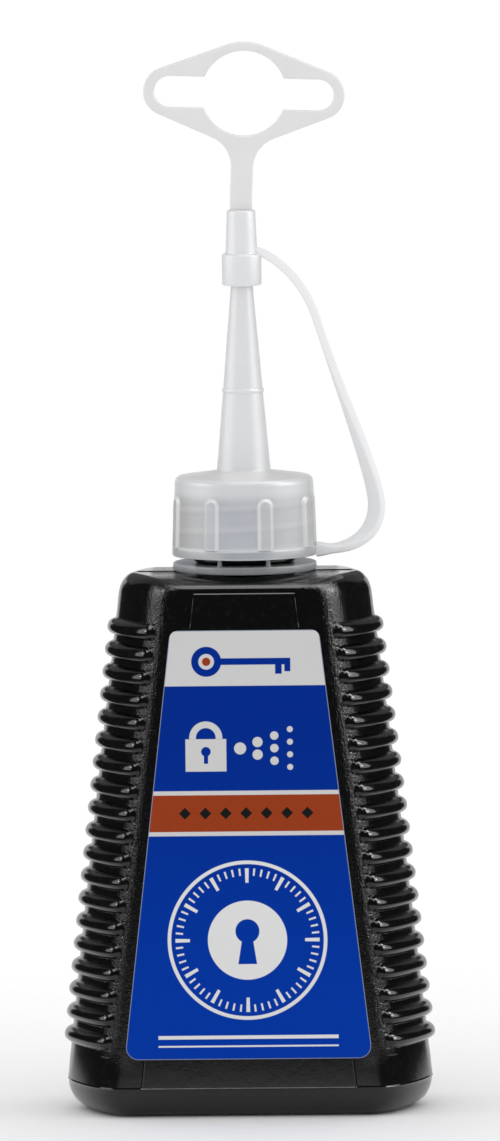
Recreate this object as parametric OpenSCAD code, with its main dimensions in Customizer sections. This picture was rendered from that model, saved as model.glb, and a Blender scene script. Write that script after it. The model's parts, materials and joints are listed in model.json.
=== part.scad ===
// Squeeze bottle of graphite powder with a screw-on nozzle cap, a strapped tip cap and a hanging tag.
// Millimetres. The origin is on the bottle's axis, on the surface it stands on, and the front faces -Y.

/* [Body] */
// Width across the side walls at the foot of the bottle
body_foot_w = 62.1; // [57:0.1:68]
// Width across the side walls at the shoulder
body_top_w = 41.5; // [39:0.1:46]
// Depth from front to back at the foot
body_foot_d = 34; // [31:0.1:38]
// Depth from front to back at the shoulder
body_top_d = 29; // [27:0.1:31]
// Height of the shoulder's front edge above the foot
body_h = 89.2; // [84:0.1:98]
// How far each side wall bows out at its seam, past the ends of the flat front and back
side_bow = 9; // [7.5:0.1:10]
// Radius where the walls turn under into the foot
foot_r = 5.2; // [3.5:0.1:7]
// Radius where the side walls turn over into the shoulder
shoulder_side_r = 2.6; // [2:0.1:4]
// Radius where the front and back walls turn over into the shoulder
shoulder_front_r = 1.5; // [1:0.1:2]
// Thickness of the blown wall
body_wall = 1.2; // [0.8:0.1:1.6]

/* [Grip ribs] */
// Number of grip ribs down each side
rib_count = 19; // [12:1:20]
// Height of one rib where it leaves the wall
rib_w = 2.75; // [2:0.05:2.9]
// How far a rib stands out of the wall
rib_out = 1.3; // [0.6:0.05:1.35]
// Drop from the shoulder to the middle of the top rib
rib_drop = 8.1; // [6:0.1:10]
// Height of the middle of the lowest rib above the foot
rib_rise = 12.7; // [9:0.1:15]
// Share of the way from the seam to the flat front at which a rib has died away
rib_end_share = 0.88; // [0.75:0.01:0.92]
// Share of that way over which a rib dies away
rib_fade_share = 0.14; // [0.08:0.01:0.3]

/* [Neck] */
// Radius of the neck's bore
neck_bore_r = 6.6; // [6:0.1:7]
// Thickness of the neck's wall
neck_wall = 1.5; // [1.2:0.1:2]
// Plain neck above the upper end of its thread
mouth_h = 0.3; // [0.2:0.1:1.5]
// How far the neck's tube reaches down inside the shoulder
neck_root = 0.6; // [0.3:0.1:1]
// Chamfer round the neck's mouth
neck_lip = 0.4; // [0.2:0.1:0.6]
// How far the snap bead stands out of the neck
bead_out = 0.4; // [0.3:0.05:0.6]
// Height of the snap bead
bead_h = 0.9; // [0.6:0.1:1]

/* [Thread] */
// Rise of the thread in one turn
thread_pitch = 3.6; // [3.2:0.1:3.8]
// Turns of thread on the neck
neck_thread_turns = 2; // [1.5:0.25:2]
// Turns of thread in the cap
cap_thread_turns = 1.5; // [1:0.25:1.5]
// How far a thread stands out of its wall
thread_depth = 1.2; // [0.9:0.05:1.3]
// Width of a thread at its wall
thread_root_w = 1.6; // [1.2:0.1:1.8]
// Width of a thread at its crest
thread_crest_w = 0.8; // [0.5:0.1:1]
// Height of the neck thread's lower end above the shoulder
thread_lift = 6.1; // [5.8:0.1:6.4]

/* [Tamper ring] */
// Height of the ring above the shoulder's front edge
ring_lift = 1.15; // [0.6:0.05:1.3]
// Share of that height by which the shoulder is crowned along its middle
crown_share = 0.78; // [0.5:0.01:0.85]
// Thickness of the ring
ring_h = 1.3; // [0.8:0.05:1.4]
// How far the ring stands out past the cap's rim
ring_out = 0; // [0:0.05:1]
// Thickness of one bridge between the ring and the cap
bridge_d = 0.7; // [0.4:0.05:1]
// Turn of each bridge from the front or the back
bridge_angle = 22; // [15:1:75]

/* [Cap] */
// Thickness of the cap's side wall at its top
cap_wall = 1.8; // [1.2:0.05:2.2]
// How much wider the skirt's radius is at the rim than at the top
cap_flare = 0.45; // [0:0.05:0.8]
// Height of the band round the rim
rim_h = 1.6; // [1:0.1:2.2]
// How far the rim's band stands out of the skirt
rim_out = 0.1; // [0.1:0.05:0.5]
// Thickness of the roof at its edge
roof_t = 2.2; // [1:0.1:2.4]
// Rise of the roof from its edge to the nozzle
roof_rise = 0.8; // [0.6:0.1:2]
// Radius round the edge of the roof
roof_edge_r = 1.1; // [0.8:0.1:1.6]
// Number of upright grips round the skirt
grip_count = 8; // [6:1:12]
// Radius of one grip
grip_r = 1.1; // [0.8:0.05:1.3]
// How far a grip stands out of the skirt
grip_out = 0.4; // [0.2:0.05:0.6]
// Drop from the roof's edge to the top of a grip
grip_drop = 3.3; // [1.8:0.1:3.5]
// Turn of the first grip from the front
grip_angle = 18; // [0:1:44]
// Height of the plug that seals the neck's bore
plug_h = 3; // [2:0.1:4]
// Thickness of the plug's wall
plug_wall = 1; // [0.7:0.1:1.3]

/* [Nozzle] */
// Length of the nozzle above the roof
nozzle_h = 40.6; // [36:0.1:46]
// Radius of the nozzle where it leaves the roof
nozzle_base_r = 4.5; // [4:0.1:4.8]
// Radius of the nozzle's tip
nozzle_tip_r = 1; // [0.9:0.05:1.2]
// Radius of the hole in the nozzle's tip
nozzle_hole_r = 0.45; // [0.3:0.05:0.6]
// Thickness of the nozzle's wall at its base
nozzle_wall = 1; // [0.8:0.1:1.3]
// Height of the fine ridge round the nozzle above the roof
ridge_lift = 13.4; // [8:0.1:20]
// Height of the ridge
ridge_h = 0.7; // [0.4:0.1:1]
// How far the ridge stands out of the nozzle
ridge_out = 0.17; // [0.1:0.01:0.3]

/* [Tip cap] */
// Length of nozzle that the tip cap covers
tip_cover = 9.6; // [8:0.1:11]
// Solid web between the nozzle's tip and the tag's stem
tip_web = 1; // [0.5:0.1:3]
// Radius of the collar round the tip cap's foot
collar_r = 3.3; // [3.1:0.05:3.6]
// Height of the collar
collar_h = 5.3; // [4:0.1:6]
// Radius of the tip cap above its collar
tip_cap_foot_r = 2.7; // [2.6:0.05:2.9]
// Radius of the tip cap at its top
tip_cap_top_r = 2.4; // [2.3:0.05:2.6]
// Chamfer round the tip cap's edges
tip_cap_edge = 0.35; // [0.2:0.05:0.4]

/* [Strap] */
// Thickness of the strap
strap_t = 1.3; // [0.7:0.05:1.5]
// Width of the strap at the cap
strap_root_w = 3.5; // [2.4:0.1:4]
// Width of the strap at the tip cap
strap_tip_w = 2.2; // [1.6:0.1:2.6]
// How far the strap bows out past its tab on the cap
strap_reach = 9; // [7:0.1:11]
// Height of the strap's widest point above its tab
strap_bow_h = 7.4; // [6:0.1:9]
// Turn of the strap about its own line at its widest point
strap_twist = 50; // [0:1:60]
// How far the cap's tab and the tip cap's lug stand out to carry the strap
tab_out = 1; // [0.6:0.1:1.5]
// Slope at which the strap leaves the tip cap
strap_tip_slope = 29; // [0:1:45]

/* [Hanging tag] */
// Radius of the round hanging hole
hang_hole_r = 7.1; // [6.5:0.05:8]
// Length of the slot across the hole
slot_l = 30; // [26:0.1:36]
// Height of the slot
slot_h = 5.2; // [4.5:0.1:6.5]
// Rim of the tag round the hole and along the slot
tag_rim = 1.5; // [1.2:0.1:2.5]
// How much deeper the rim is under the hole than over it
tag_low_rim = 0.3; // [0:0.1:1]
// Rim of the tag past each end of the slot
slot_end_rim = 1.8; // [1.2:0.1:3]
// Thickness of the tag
tag_t = 1.2; // [0.8:0.1:1.8]
// Width of the tag's stem
stem_w = 3.7; // [3:0.1:3.8]
// Height of the hole's middle above the tip cap
hang_lift = 19.5; // [17:0.1:24]
// Radius between the stem and the tag
stem_fillet_r = 4.6; // [2:0.1:6]
// Depth of the stem's foot in the tip cap
stem_depth = 1.5; // [1:0.1:1.8]

/* [Label] */
// Height of the label's lower edge above the foot
label_rise = 9.9; // [7:0.1:14]
// Drop from the shoulder to the label's upper edge
label_drop = 7.7; // [5:0.1:12]
// Bare flat wall at each side of the label
label_margin = 0.3; // [0.2:0.1:2]
// Radius of the label's corners
label_r = 1.5; // [0.5:0.1:3]
// Thickness of the label
label_t = 0.12; // [0.08:0.01:0.2]

/* [Powder] */
// Height of the powder's surface above the foot
fill_level = 60; // [40:1:78]

/* [Fits] */
// Gap between a thread's crest and the wall it runs past
thread_gap = 0.35; // [0.3:0.05:0.5]
// Gap between the plug and the neck's bore
plug_gap = 0.2; // [0.1:0.05:0.3]
// Gap between the neck's mouth and the cap's roof
mouth_gap = 0.3; // [0.1:0.05:0.5]
// Gap between the tamper ring and the neck
ring_gap = 0.2; // [0.1:0.05:0.25]
// Gap between the tamper ring and the snap bead over it
bead_gap = 0.1; // [0.05:0.05:0.2]
// Gap between the snap bead and the cap's rim over it
rim_gap = 0.15; // [0.1:0.05:0.4]
// Gap between the tip cap and the nozzle
tip_gap = 0.12; // [0.05:0.01:0.3]
// Gap between the nozzle's tip and the end of the tip cap's bore
tip_head = 0.5; // [0.2:0.1:0.8]
// Gap round the stem's foot in the tip cap
stem_gap = 0.05; // [0:0.01:0.1]
// Gap between the powder and the wall
fill_gap = 0.2; // [0.1:0.05:0.4]

/* [Hidden] */
$fn = 64;
// How far a cut runs past the face it opens
overrun = 1;
// How far a thread or a lug is sunk into the wall that carries it
sunk = 0.4;

// Steps of each rounded form
edge_steps = 5;
thread_steps = 24;
strap_steps = 8;

// Heights up the axis
neck_h = thread_lift + neck_thread_turns * thread_pitch + thread_root_w / 2 + mouth_h;
tip_cap_h = tip_cover + tip_head + tip_web + stem_depth;
neck_top = body_h + neck_h;
ring_z = body_h + ring_lift;
bead_z = ring_z + ring_h + bead_gap;
rim_z = bead_z + bead_h + rim_gap;
roof_under = neck_top + mouth_gap;
roof_z = roof_under + roof_t;
nozzle_z = roof_z + roof_rise;
nozzle_top = nozzle_z + nozzle_h;
tip_cap_z = nozzle_top - tip_cover;
tip_cap_top = tip_cap_z + tip_cap_h;
hang_z = tip_cap_top + hang_lift;

// Radii of the neck, the cap and the ring between them
neck_r = neck_bore_r + neck_wall;
thread_r = neck_r + thread_depth;
cap_bore_r = thread_r + thread_gap;
cap_top_r = cap_bore_r + cap_wall;
cap_foot_r = cap_top_r + cap_flare;
rim_r = cap_foot_r + rim_out;
ring_in_r = neck_r + ring_gap;
ring_r = rim_r + ring_out;

// Half width and half depth of the plain tapered body at a height
function body_half_w(z) = (body_foot_w + (body_top_w - body_foot_w) * z / body_h) / 2;
function body_half_d(z) = (body_foot_d + (body_top_d - body_foot_d) * z / body_h) / 2;
body_lean = atan((body_foot_d - body_top_d) / 2 / body_h);

// How far a round edge of radius r has drawn in at a depth past its start
function drawn_in(r, past) = past <= 0 ? 0 : r - sqrt(max(0, r * r - past * past));

// Handles of the bowed side: along its seam and along the flat front, as shares of the depth and of the bow
seam_handle_share = 0.15;
front_handle_share = 0.45;
// Points of a quarter ring, as shares of the way from the seam to the flat front
side_point_shares = [0, 0.15, 0.35, 0.55, 0.7, 0.8, 0.9, 1];
side_points = len(side_point_shares);
ring_points = 4 * side_points - 2;

// Closed ring with flat front and back and bowed sides at one height, widened by swell where ribs cross it
function body_ring(half_w, half_d, bow, z, swell = 0) =
    let (
        seam = [half_w, 0],
        seam_handle = [half_w, half_d * seam_handle_share],
        front_handle = [half_w - bow * front_handle_share, half_d],
        front = [half_w - bow, half_d]
    )
    [
        for (quarter = [0:3], step = [0:side_points - 1])
            let (
                share = side_point_shares[quarter % 2 == 0 ? step : side_points - 1 - step],
                side_x = quarter == 0 || quarter == 3 ? 1 : -1,
                side_y = quarter < 2 ? 1 : -1,
                at = curve_point(seam, seam_handle, front_handle, front, share),
                way = curve_way(seam, seam_handle, front_handle, front, share),
                out = swell * sqrt(max(0, min(1, (rib_end_share - share) / rib_fade_share))) / norm(way)
            )
            if (quarter < 2 || share > 0)
                [side_x * (at[0] + out * way[1]), side_y * (at[1] - out * way[0]), z]
    ];

// Closed ring of a circle with as many points as a body ring
function neck_ring(r, z) = [
    for (step = [0:ring_points - 1])
        let (a = 360 * step / ring_points)
        [r * cos(a), r * sin(a), z]
];

// Faces of a tube of rings with count points each, closed at both ends
function tube_faces(rings, count) = concat(
    [[for (j = [0:count - 1]) j]],
    [
        for (i = [0:rings - 2], j = [0:count - 1], upper = [true, false])
            let (k = (j + 1) % count, low = i * count, high = low + count)
            upper ? [low + j, high + j, high + k] : [low + j, high + k, low + k]
    ],
    [[for (j = [count - 1:-1:0]) (rings - 1) * count + j]]
);

// Solid through a list of rings with equally many points
module ring_solid(rings) {
    polyhedron([for (ring = rings) each ring], tube_faces(len(rings), len(rings[0])));
}

// Grip ribs: heights of their middles and the round profile of one
rib_pitch = (body_h - rib_drop - rib_rise) / (rib_count - 1);
rib_curve_r = (rib_w * rib_w / 4 + rib_out * rib_out) / (2 * rib_out);
rib_level_shares = [-1, -0.6, 0, 0.6, 1];
function rib_swell(offset) = sqrt(rib_curve_r * rib_curve_r - offset * offset) - rib_curve_r + rib_out;

// Rise of the crowned shoulder along its middle, which grows over the round of the side walls
shoulder_crown = crown_share * ring_lift;
crown_power = 6;
function crown_at(z) = shoulder_crown * max(0, min(1, (z - body_h) / shoulder_side_r + 1));

// Ring with its middle raised by a crown that dies away towards the flat front and back
function crowned_ring(ring, half_d, crown) = [
    for (p = ring) [p[0], p[1], p[2] + crown * (1 - pow(abs(p[1]) / half_d, crown_power))]
];

// Outer skin of the body as rings, from the foot to the shoulder
function outer_ring(z, swell = 0) =
    let (
        foot_in = drawn_in(foot_r, foot_r - z),
        side_in = foot_in + drawn_in(shoulder_side_r, z - body_h + shoulder_side_r),
        front_in = foot_in + drawn_in(shoulder_front_r, z - body_h + shoulder_front_r),
        half_d = body_half_d(z) - front_in,
        ring = body_ring(body_half_w(z) - side_in, half_d, side_bow - side_in / 2, z, swell)
    )
    crowned_ring(ring, half_d, crown_at(z));
foot_rings = [for (i = [0:edge_steps]) outer_ring(foot_r * (1 - cos(90 * i / edge_steps)))];
rib_rings = [
    for (i = [0:rib_count - 1], share = rib_level_shares)
        let (offset = share * rib_w / 2)
        outer_ring(rib_rise + i * rib_pitch + offset, rib_swell(offset))
];
shoulder_rings = [
    for (i = [0:edge_steps]) outer_ring(body_h - shoulder_side_r * (1 - sin(90 * i / edge_steps)))
];

// Rings of the cavity, drawn in from the wall by a gap
function inner_ring(z, in) = body_ring(body_half_w(z) - in, body_half_d(z) - in, side_bow - in / 2, z);

// Share of its full depth that a thread has left at its two ends
thread_end_share = 0.3;

// Helix of trapezoid section round the axis, from radius root_r to crest_r, thinned out at both ends
module thread(root_r, crest_r, z, turns) {
    steps = round(turns * thread_steps);
    rings = [
        for (i = [0:steps])
            let (
                a = 360 * i / thread_steps,
                level = z + thread_pitch * i / thread_steps,
                taper = i == 0 || i == steps ? thread_end_share : 1,
                out_r = root_r + (crest_r - root_r) * taper,
                low_r = min(root_r, out_r),
                high_r = max(root_r, out_r),
                low_w = root_r < crest_r ? thread_root_w : thread_crest_w,
                high_w = root_r < crest_r ? thread_crest_w : thread_root_w
            )
            [
                for (corner = [[low_r, -low_w], [low_r, low_w], [high_r, high_w], [high_r, -high_w]])
                    [corner[0] * cos(a), corner[0] * sin(a), level + corner[1] / 2]
            ]
    ];
    ring_solid(rings);
}

// Tube of the neck with its snap bead and chamfered mouth
module neck() {
    rotate_extrude() polygon([
        [neck_bore_r, body_h - body_wall - neck_root],
        [neck_r, body_h - body_wall - neck_root],
        [neck_r, bead_z],
        [neck_r + bead_out, bead_z],
        [neck_r + bead_out, bead_z + bead_h / 2],
        [neck_r, bead_z + bead_h],
        [neck_r, neck_top - neck_lip],
        [neck_r - neck_lip, neck_top],
        [neck_bore_r, neck_top]
    ]);
}

// Black bottle: one skin up the outside, in at the neck and down the inside, with the neck on top
module bottle() {
    mouth_r = (neck_bore_r + neck_r) / 2;
    color("#1b1b1c") union() {
        ring_solid(concat(
            foot_rings,
            rib_rings,
            shoulder_rings,
            [
                neck_ring(mouth_r, body_h + shoulder_crown),
                neck_ring(mouth_r, body_h - body_wall),
                inner_ring(body_h - body_wall, shoulder_side_r),
                inner_ring(body_h - shoulder_side_r, body_wall),
                inner_ring(foot_r, body_wall),
                inner_ring(body_wall, foot_r)
            ]
        ));
        neck();
        thread(neck_r - sunk, thread_r, body_h + thread_lift, neck_thread_turns);
    }
}

// Printed label, flat on the sloping front wall
module front_label() {
    label_top = body_h - label_drop;
    half_foot = body_half_w(label_rise) - side_bow - label_margin;
    half_top = body_half_w(label_top) - side_bow - label_margin;
    slope_h = (label_top - label_rise) / cos(body_lean);
    outline = [[-half_foot, 0], [half_foot, 0], [half_top, slope_h], [-half_top, slope_h]];
    color("#0b2f8f")
        translate([0, -body_half_d(label_rise), label_rise])
            rotate([90 - body_lean, 0, 0])
                linear_extrude(label_t)
                    offset(r = label_r) offset(delta = -label_r) polygon(outline);
}

// Powder, settled on the floor of the bottle
module graphite_fill() {
    color("#4a4a4d") ring_solid([
        inner_ring(body_wall, foot_r + fill_gap),
        inner_ring(foot_r, body_wall + fill_gap),
        inner_ring(fill_level, body_wall + fill_gap)
    ]);
}

// Tamper ring round the neck, under the snap bead, with its bridges up to the cap's rim
module tamper_ring() {
    bridge_r = (cap_bore_r + rim_r) / 2;
    color("#c9cdd0") union() {
        translate([0, 0, ring_z]) difference() {
            cylinder(r = ring_r, h = ring_h);
            translate([0, 0, -overrun]) cylinder(r = ring_in_r, h = ring_h + 2 * overrun);
        }
        for (side = [-1, 1], face = [0, 180])
            rotate([0, 0, face + side * bridge_angle])
                translate([0, -bridge_r, ring_z + ring_h / 2])
                    cylinder(d = bridge_d, h = rim_z - ring_z - ring_h / 2);
    }
}

// Outer radius of the nozzle at a height
function nozzle_r(z) = nozzle_base_r + (nozzle_tip_r - nozzle_base_r) * (z - nozzle_z) / nozzle_h;

// One upright grip with a rounded top, leaning with the skirt
module grip() {
    grip_z = rim_z + rim_h / 2;
    grip_h = roof_z - grip_drop - grip_r - grip_z;
    translate([0, grip_r - cap_foot_r - grip_out, grip_z])
        rotate([-atan(cap_flare / (roof_z - rim_z)), 0, 0])
            rotate_extrude() polygon(concat(
                [[0, 0]],
                [
                    for (i = [0:edge_steps])
                        let (a = 90 * i / edge_steps)
                        [grip_r * cos(a), grip_h + grip_r * sin(a)]
                ]
            ));
}

// Screw cap with its roof, nozzle, plug and inside thread
module nozzle_cap() {
    plug_r = neck_bore_r - plug_gap;
    ridge_z = nozzle_z + ridge_lift;
    cap_thread_z = body_h + thread_lift + thread_pitch / 2;
    color("#d3d6d9") union() {
        difference() {
            union() {
                rotate_extrude() polygon(concat(
                    [
                        [0, rim_z],
                        [rim_r, rim_z],
                        [rim_r, rim_z + rim_h],
                        [cap_foot_r, rim_z + rim_h + rim_out]
                    ],
                    [
                        for (i = [0:edge_steps])
                            let (a = 90 * i / edge_steps)
                            [cap_top_r - roof_edge_r * (1 - cos(a)), roof_z - roof_edge_r * (1 - sin(a))]
                    ],
                    [
                        [nozzle_base_r, nozzle_z],
                        [nozzle_r(ridge_z), ridge_z],
                        [nozzle_r(ridge_z) + ridge_out, ridge_z],
                        [nozzle_r(ridge_z + ridge_h) + ridge_out, ridge_z + ridge_h],
                        [nozzle_r(ridge_z + ridge_h), ridge_z + ridge_h],
                        [nozzle_tip_r, nozzle_top],
                        [0, nozzle_top]
                    ]
                ));
                for (i = [0:grip_count - 1]) rotate([0, 0, grip_angle + 360 * i / grip_count]) grip();
                translate([0, -strap_root_w / 2, rim_z]) cube([rim_r + tab_out, strap_root_w, rim_h]);
            }
            rotate_extrude() polygon([
                [0, rim_z - overrun],
                [cap_bore_r, rim_z - overrun],
                [cap_bore_r, roof_under],
                [plug_r, roof_under],
                [plug_r, roof_under - plug_h],
                [plug_r - plug_wall, roof_under - plug_h],
                [plug_r - plug_wall, roof_under],
                [nozzle_base_r - nozzle_wall, nozzle_z],
                [nozzle_hole_r, nozzle_top],
                [nozzle_hole_r, nozzle_top + overrun],
                [0, nozzle_top + overrun]
            ]);
        }
        thread(cap_bore_r + sunk, neck_r + thread_gap, cap_thread_z, cap_thread_turns);
    }
}

// Ends of the strap: on the cap's tab and on the tip cap's lug
lug_x = tip_cap_foot_r + tab_out;
lug_z = tip_cap_z + collar_h;
lug_dir = [cos(strap_tip_slope), -sin(strap_tip_slope)];
strap_root = [rim_r + tab_out, rim_z + rim_h / 2];
strap_bow = [strap_root[0] + strap_reach, strap_root[1] + strap_bow_h];
strap_tip = [lug_x, lug_z];

// Point at share s along a smooth curve from a to d with handles b and c
function curve_point(a, b, c, d, s) =
    let (t = 1 - s)
    t * t * t * a + 3 * t * t * s * b + 3 * t * s * s * c + s * s * s * d;

// Direction of that curve at share s
function curve_way(a, b, c, d, s) =
    let (t = 1 - s)
    t * t * (b - a) + 2 * t * s * (c - b) + s * s * (d - c);

// Where the strap turns from its long straight run into the bend over the tip cap, as shares of its span
strap_knee_shares = [0.53, 0.74];
strap_knee = [for (i = [0, 1]) strap_bow[i] + (strap_tip[i] - strap_bow[i]) * strap_knee_shares[i]];
// Handles of the three curves, as shares of the stretch that each curve spans
round_share = 0.62;
run_handle_shares = [0.25, 0.4];
knee_handle_shares = [0.4, 0.3];
// Direction of the long run at the knee, from its own points
knee_dir = (strap_knee - strap_bow) / norm(strap_knee - strap_bow);
run_l = norm(strap_knee - strap_bow);
over_l = norm(strap_tip - strap_knee);
strap_curves = [
    [
        strap_root,
        strap_root + [strap_reach * round_share, 0],
        strap_bow - [0, strap_bow_h * round_share],
        strap_bow
    ],
    [
        strap_bow,
        strap_bow + [0, run_l * run_handle_shares[0]],
        strap_knee - knee_dir * run_l * run_handle_shares[1],
        strap_knee
    ],
    [
        strap_knee,
        strap_knee + knee_dir * over_l * knee_handle_shares[0],
        strap_tip + lug_dir * over_l * knee_handle_shares[1],
        strap_tip
    ]
];
strap_line = concat(
    [
        for (curve = strap_curves, i = [0:strap_steps - 1])
            curve_point(curve[0], curve[1], curve[2], curve[3], i / strap_steps)
    ],
    [strap_tip]
);

// Share of the strap over which it turns about its own line and back
twist_share = 2 / 3;

// Ring of the strap at point i of its line, turned about the line and narrowing to the tip
function strap_ring(i) =
    let (
        last = len(strap_line) - 1,
        step = strap_line[min(i + 1, last)] - strap_line[max(i - 1, 0)],
        dir = i == 0 ? [1, 0] : i == last ? -lug_dir : step / norm(step),
        along = i / last,
        half_w = (strap_root_w + (strap_tip_w - strap_root_w) * along) / 2,
        turn = strap_twist * pow(sin(180 * min(1, along / twist_share)), 2),
        across = [-dir[1] * sin(turn), cos(turn), dir[0] * sin(turn)],
        out = [-dir[1] * cos(turn), -sin(turn), dir[0] * cos(turn)],
        middle = [strap_line[i][0], 0, strap_line[i][1]]
    )
    [
        for (corner = [[-1, -1], [1, -1], [1, 1], [-1, 1]])
            middle + across * half_w * corner[0] + out * strap_t / 2 * corner[1]
    ];

// Strap from the cap's tab, out, up and over to the tip cap's lug
module cap_strap() {
    color("#dfe1e2") ring_solid([for (i = [0:len(strap_line) - 1]) strap_ring(i)]);
}

// Push-on cap over the nozzle's tip, with its collar, its lug for the strap and a socket for the tag's stem
module tip_cap() {
    bore_top = nozzle_top + tip_head;
    lug_l = (tab_out + sunk) / cos(strap_tip_slope);
    color("#d6dadc") difference() {
        union() {
            rotate_extrude() polygon([
                [0, tip_cap_z],
                [collar_r - tip_cap_edge, tip_cap_z],
                [collar_r, tip_cap_z + tip_cap_edge],
                [collar_r, tip_cap_z + collar_h - tip_cap_edge],
                [collar_r - tip_cap_edge, tip_cap_z + collar_h],
                [tip_cap_foot_r, tip_cap_z + collar_h],
                [tip_cap_top_r, tip_cap_top - tip_cap_edge],
                [tip_cap_top_r - tip_cap_edge, tip_cap_top],
                [0, tip_cap_top]
            ]);
            translate([lug_x, 0, lug_z])
                rotate([0, strap_tip_slope, 0])
                    translate([-lug_l, -strap_tip_w / 2, -strap_t / 2])
                        cube([lug_l, strap_tip_w, strap_t]);
        }
        rotate_extrude() polygon([
            [0, tip_cap_z - overrun],
            [nozzle_r(tip_cap_z - overrun) + tip_gap, tip_cap_z - overrun],
            [nozzle_r(bore_top) + tip_gap, bore_top],
            [0, bore_top]
        ]);
        translate([-stem_w / 2 - stem_gap, -tag_t / 2 - stem_gap, tip_cap_top - stem_depth])
            cube([stem_w + 2 * stem_gap, tag_t + 2 * stem_gap, stem_depth + overrun]);
    }
}

// Outline of the tag and its stem, round the middle of the hole
module tag_outline() {
    end_r = slot_h / 2 + tag_rim;
    end_x = slot_l / 2 + slot_end_rim - end_r;
    offset(r = -stem_fillet_r) offset(delta = stem_fillet_r) union() {
        hull() {
            circle(hang_hole_r + tag_rim);
            translate([0, -tag_low_rim]) circle(hang_hole_r + tag_rim);
            for (side = [-1, 1]) translate([side * end_x, 0]) circle(end_r);
        }
        translate([-stem_w / 2, -hang_lift - stem_depth]) square([stem_w, hang_lift + stem_depth]);
    }
}

// Flat tag with a round hole, two slot arms and a stem
module hanger_tag() {
    slot_x = (slot_l - slot_h) / 2;
    cut_h = tag_t + 2 * overrun;
    color("#dcdddd") translate([0, tag_t / 2, hang_z]) rotate([90, 0, 0]) difference() {
        linear_extrude(tag_t) tag_outline();
        translate([0, 0, -overrun]) {
            cylinder(r = hang_hole_r, h = cut_h);
            translate([-slot_x, -slot_h / 2, 0]) cube([2 * slot_x, slot_h, cut_h]);
            for (side = [-1, 1]) translate([side * slot_x, 0, 0]) cylinder(d = slot_h, h = cut_h);
        }
    }
}

bottle();
front_label();
graphite_fill();
tamper_ring();
nozzle_cap();
cap_strap();
tip_cap();
hanger_tag();
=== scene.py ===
# Looks of a flat black squeeze bottle of graphite powder, its nozzle cap, strap, tip cap and hanging tag
import json
import math

import bmesh
import bpy
import numpy as np
from mathutils import Matrix, Vector
from mathutils.geometry import tessellate_polygon


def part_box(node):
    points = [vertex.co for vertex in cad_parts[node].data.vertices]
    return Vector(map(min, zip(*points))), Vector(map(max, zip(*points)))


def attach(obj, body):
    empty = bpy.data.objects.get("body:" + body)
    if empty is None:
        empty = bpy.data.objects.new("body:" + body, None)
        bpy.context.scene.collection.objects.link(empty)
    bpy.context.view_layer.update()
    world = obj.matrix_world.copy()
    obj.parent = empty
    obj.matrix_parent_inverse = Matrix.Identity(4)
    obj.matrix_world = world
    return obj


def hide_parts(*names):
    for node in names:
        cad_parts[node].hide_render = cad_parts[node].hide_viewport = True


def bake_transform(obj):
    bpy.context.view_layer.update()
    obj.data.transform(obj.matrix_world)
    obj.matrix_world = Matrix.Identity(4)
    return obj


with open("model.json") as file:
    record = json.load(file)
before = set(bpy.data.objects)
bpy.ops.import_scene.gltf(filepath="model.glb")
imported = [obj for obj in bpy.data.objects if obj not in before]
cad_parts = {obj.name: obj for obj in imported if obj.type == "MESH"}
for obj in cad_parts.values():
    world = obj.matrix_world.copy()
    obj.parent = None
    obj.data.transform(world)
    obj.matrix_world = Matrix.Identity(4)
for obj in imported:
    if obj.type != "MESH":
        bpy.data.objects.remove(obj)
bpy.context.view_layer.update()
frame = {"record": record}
scene = bpy.context.scene

# Sizes are in millimetres here, and meshes are written in metres.
MM = 0.001


def corners_mm(node):
    """Lowest and highest corner of a node of the frame at rest."""
    low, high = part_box(node)
    return np.array(low) / MM, np.array(high) / MM


bottle_high = corners_mm("bottle")[1]
ring_low, ring_high = corners_mm("tamper_ring")
cap_low, cap_high = corners_mm("nozzle_cap")
tip_low, tip_high = corners_mm("tip_cap")
tag_low, tag_high = corners_mm("hanger_tag")
label_low, label_high = corners_mm("front_label")
fill_high = corners_mm("graphite_fill")[1]

# Body of the bottle
foot_half_w = 31.05
top_half_w = 20.75
side_swell = 0.2
foot_half_d = 17.0
top_half_d = 14.5
body_h = 89.2
body_wall = 1.2
side_bow = 9.0
seam_handle = 0.15
front_handle = 0.45
foot_r = 5.2
shoulder_side_r = 2.6
shoulder_front_r = 1.5
shoulder_steps = (0.06, 0.14, 0.28, 0.45, 0.62, 0.8, 1.0)
crown_share = 0.78
crown_power = 6
shoulder_crown = crown_share * (ring_low[2] - body_h)
base_hollow = 0.8
plain_levels = (6.5, 8.4, 10.2, 84.0, 85.2)

# Rings of the base's hollow: shares of the foot's size and of the hollow's depth
hollow_steps = ((0.1, 0.95), (0.5, 1.0), (0.8, 0.95), (0.87, 0.6), (0.9, 0.25), (0.94, 0.04))

# Rounds of the inside: distances from its roof or its floor, and how far each ring is drawn in
inside_top_round = ((0.0, 2.5), (0.8, 0.8), (2.5, 0.0))
inside_foot_round = ((1.5, 1.3), (0.0, 3.5))
inside_levels = (60.0, 35.0)

# Powder inside
powder_gap = 0.05
powder_foot_round = ((0.0, 3.6), (1.5, 1.35))
powder_edge_drop = 1.5
powder_drop = 0.7
powder_heap_h = 0.35
powder_steps = (0.97, 0.9, 0.75, 0.55, 0.35, 0.15)

# Grip ribs round both sides
rib_count = 19
rib_low_z = 12.7
rib_high_z = body_h - 8.1
rib_pitch = (rib_high_z - rib_low_z) / (rib_count - 1)
rib_half = 1.375
rib_tip_half = 1.3
rib_out = 1.3
rib_tip_out = 1.25
rib_fillet = 0.14
rib_sink = rib_fillet / 40
rib_reach = 6.9
rib_taper_l = 4.0
rib_steps = (0.18, 0.36, 0.54, 0.69, 0.81, 0.9, 0.96, 1.0, 1.04, 1.12, 1.25)

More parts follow.
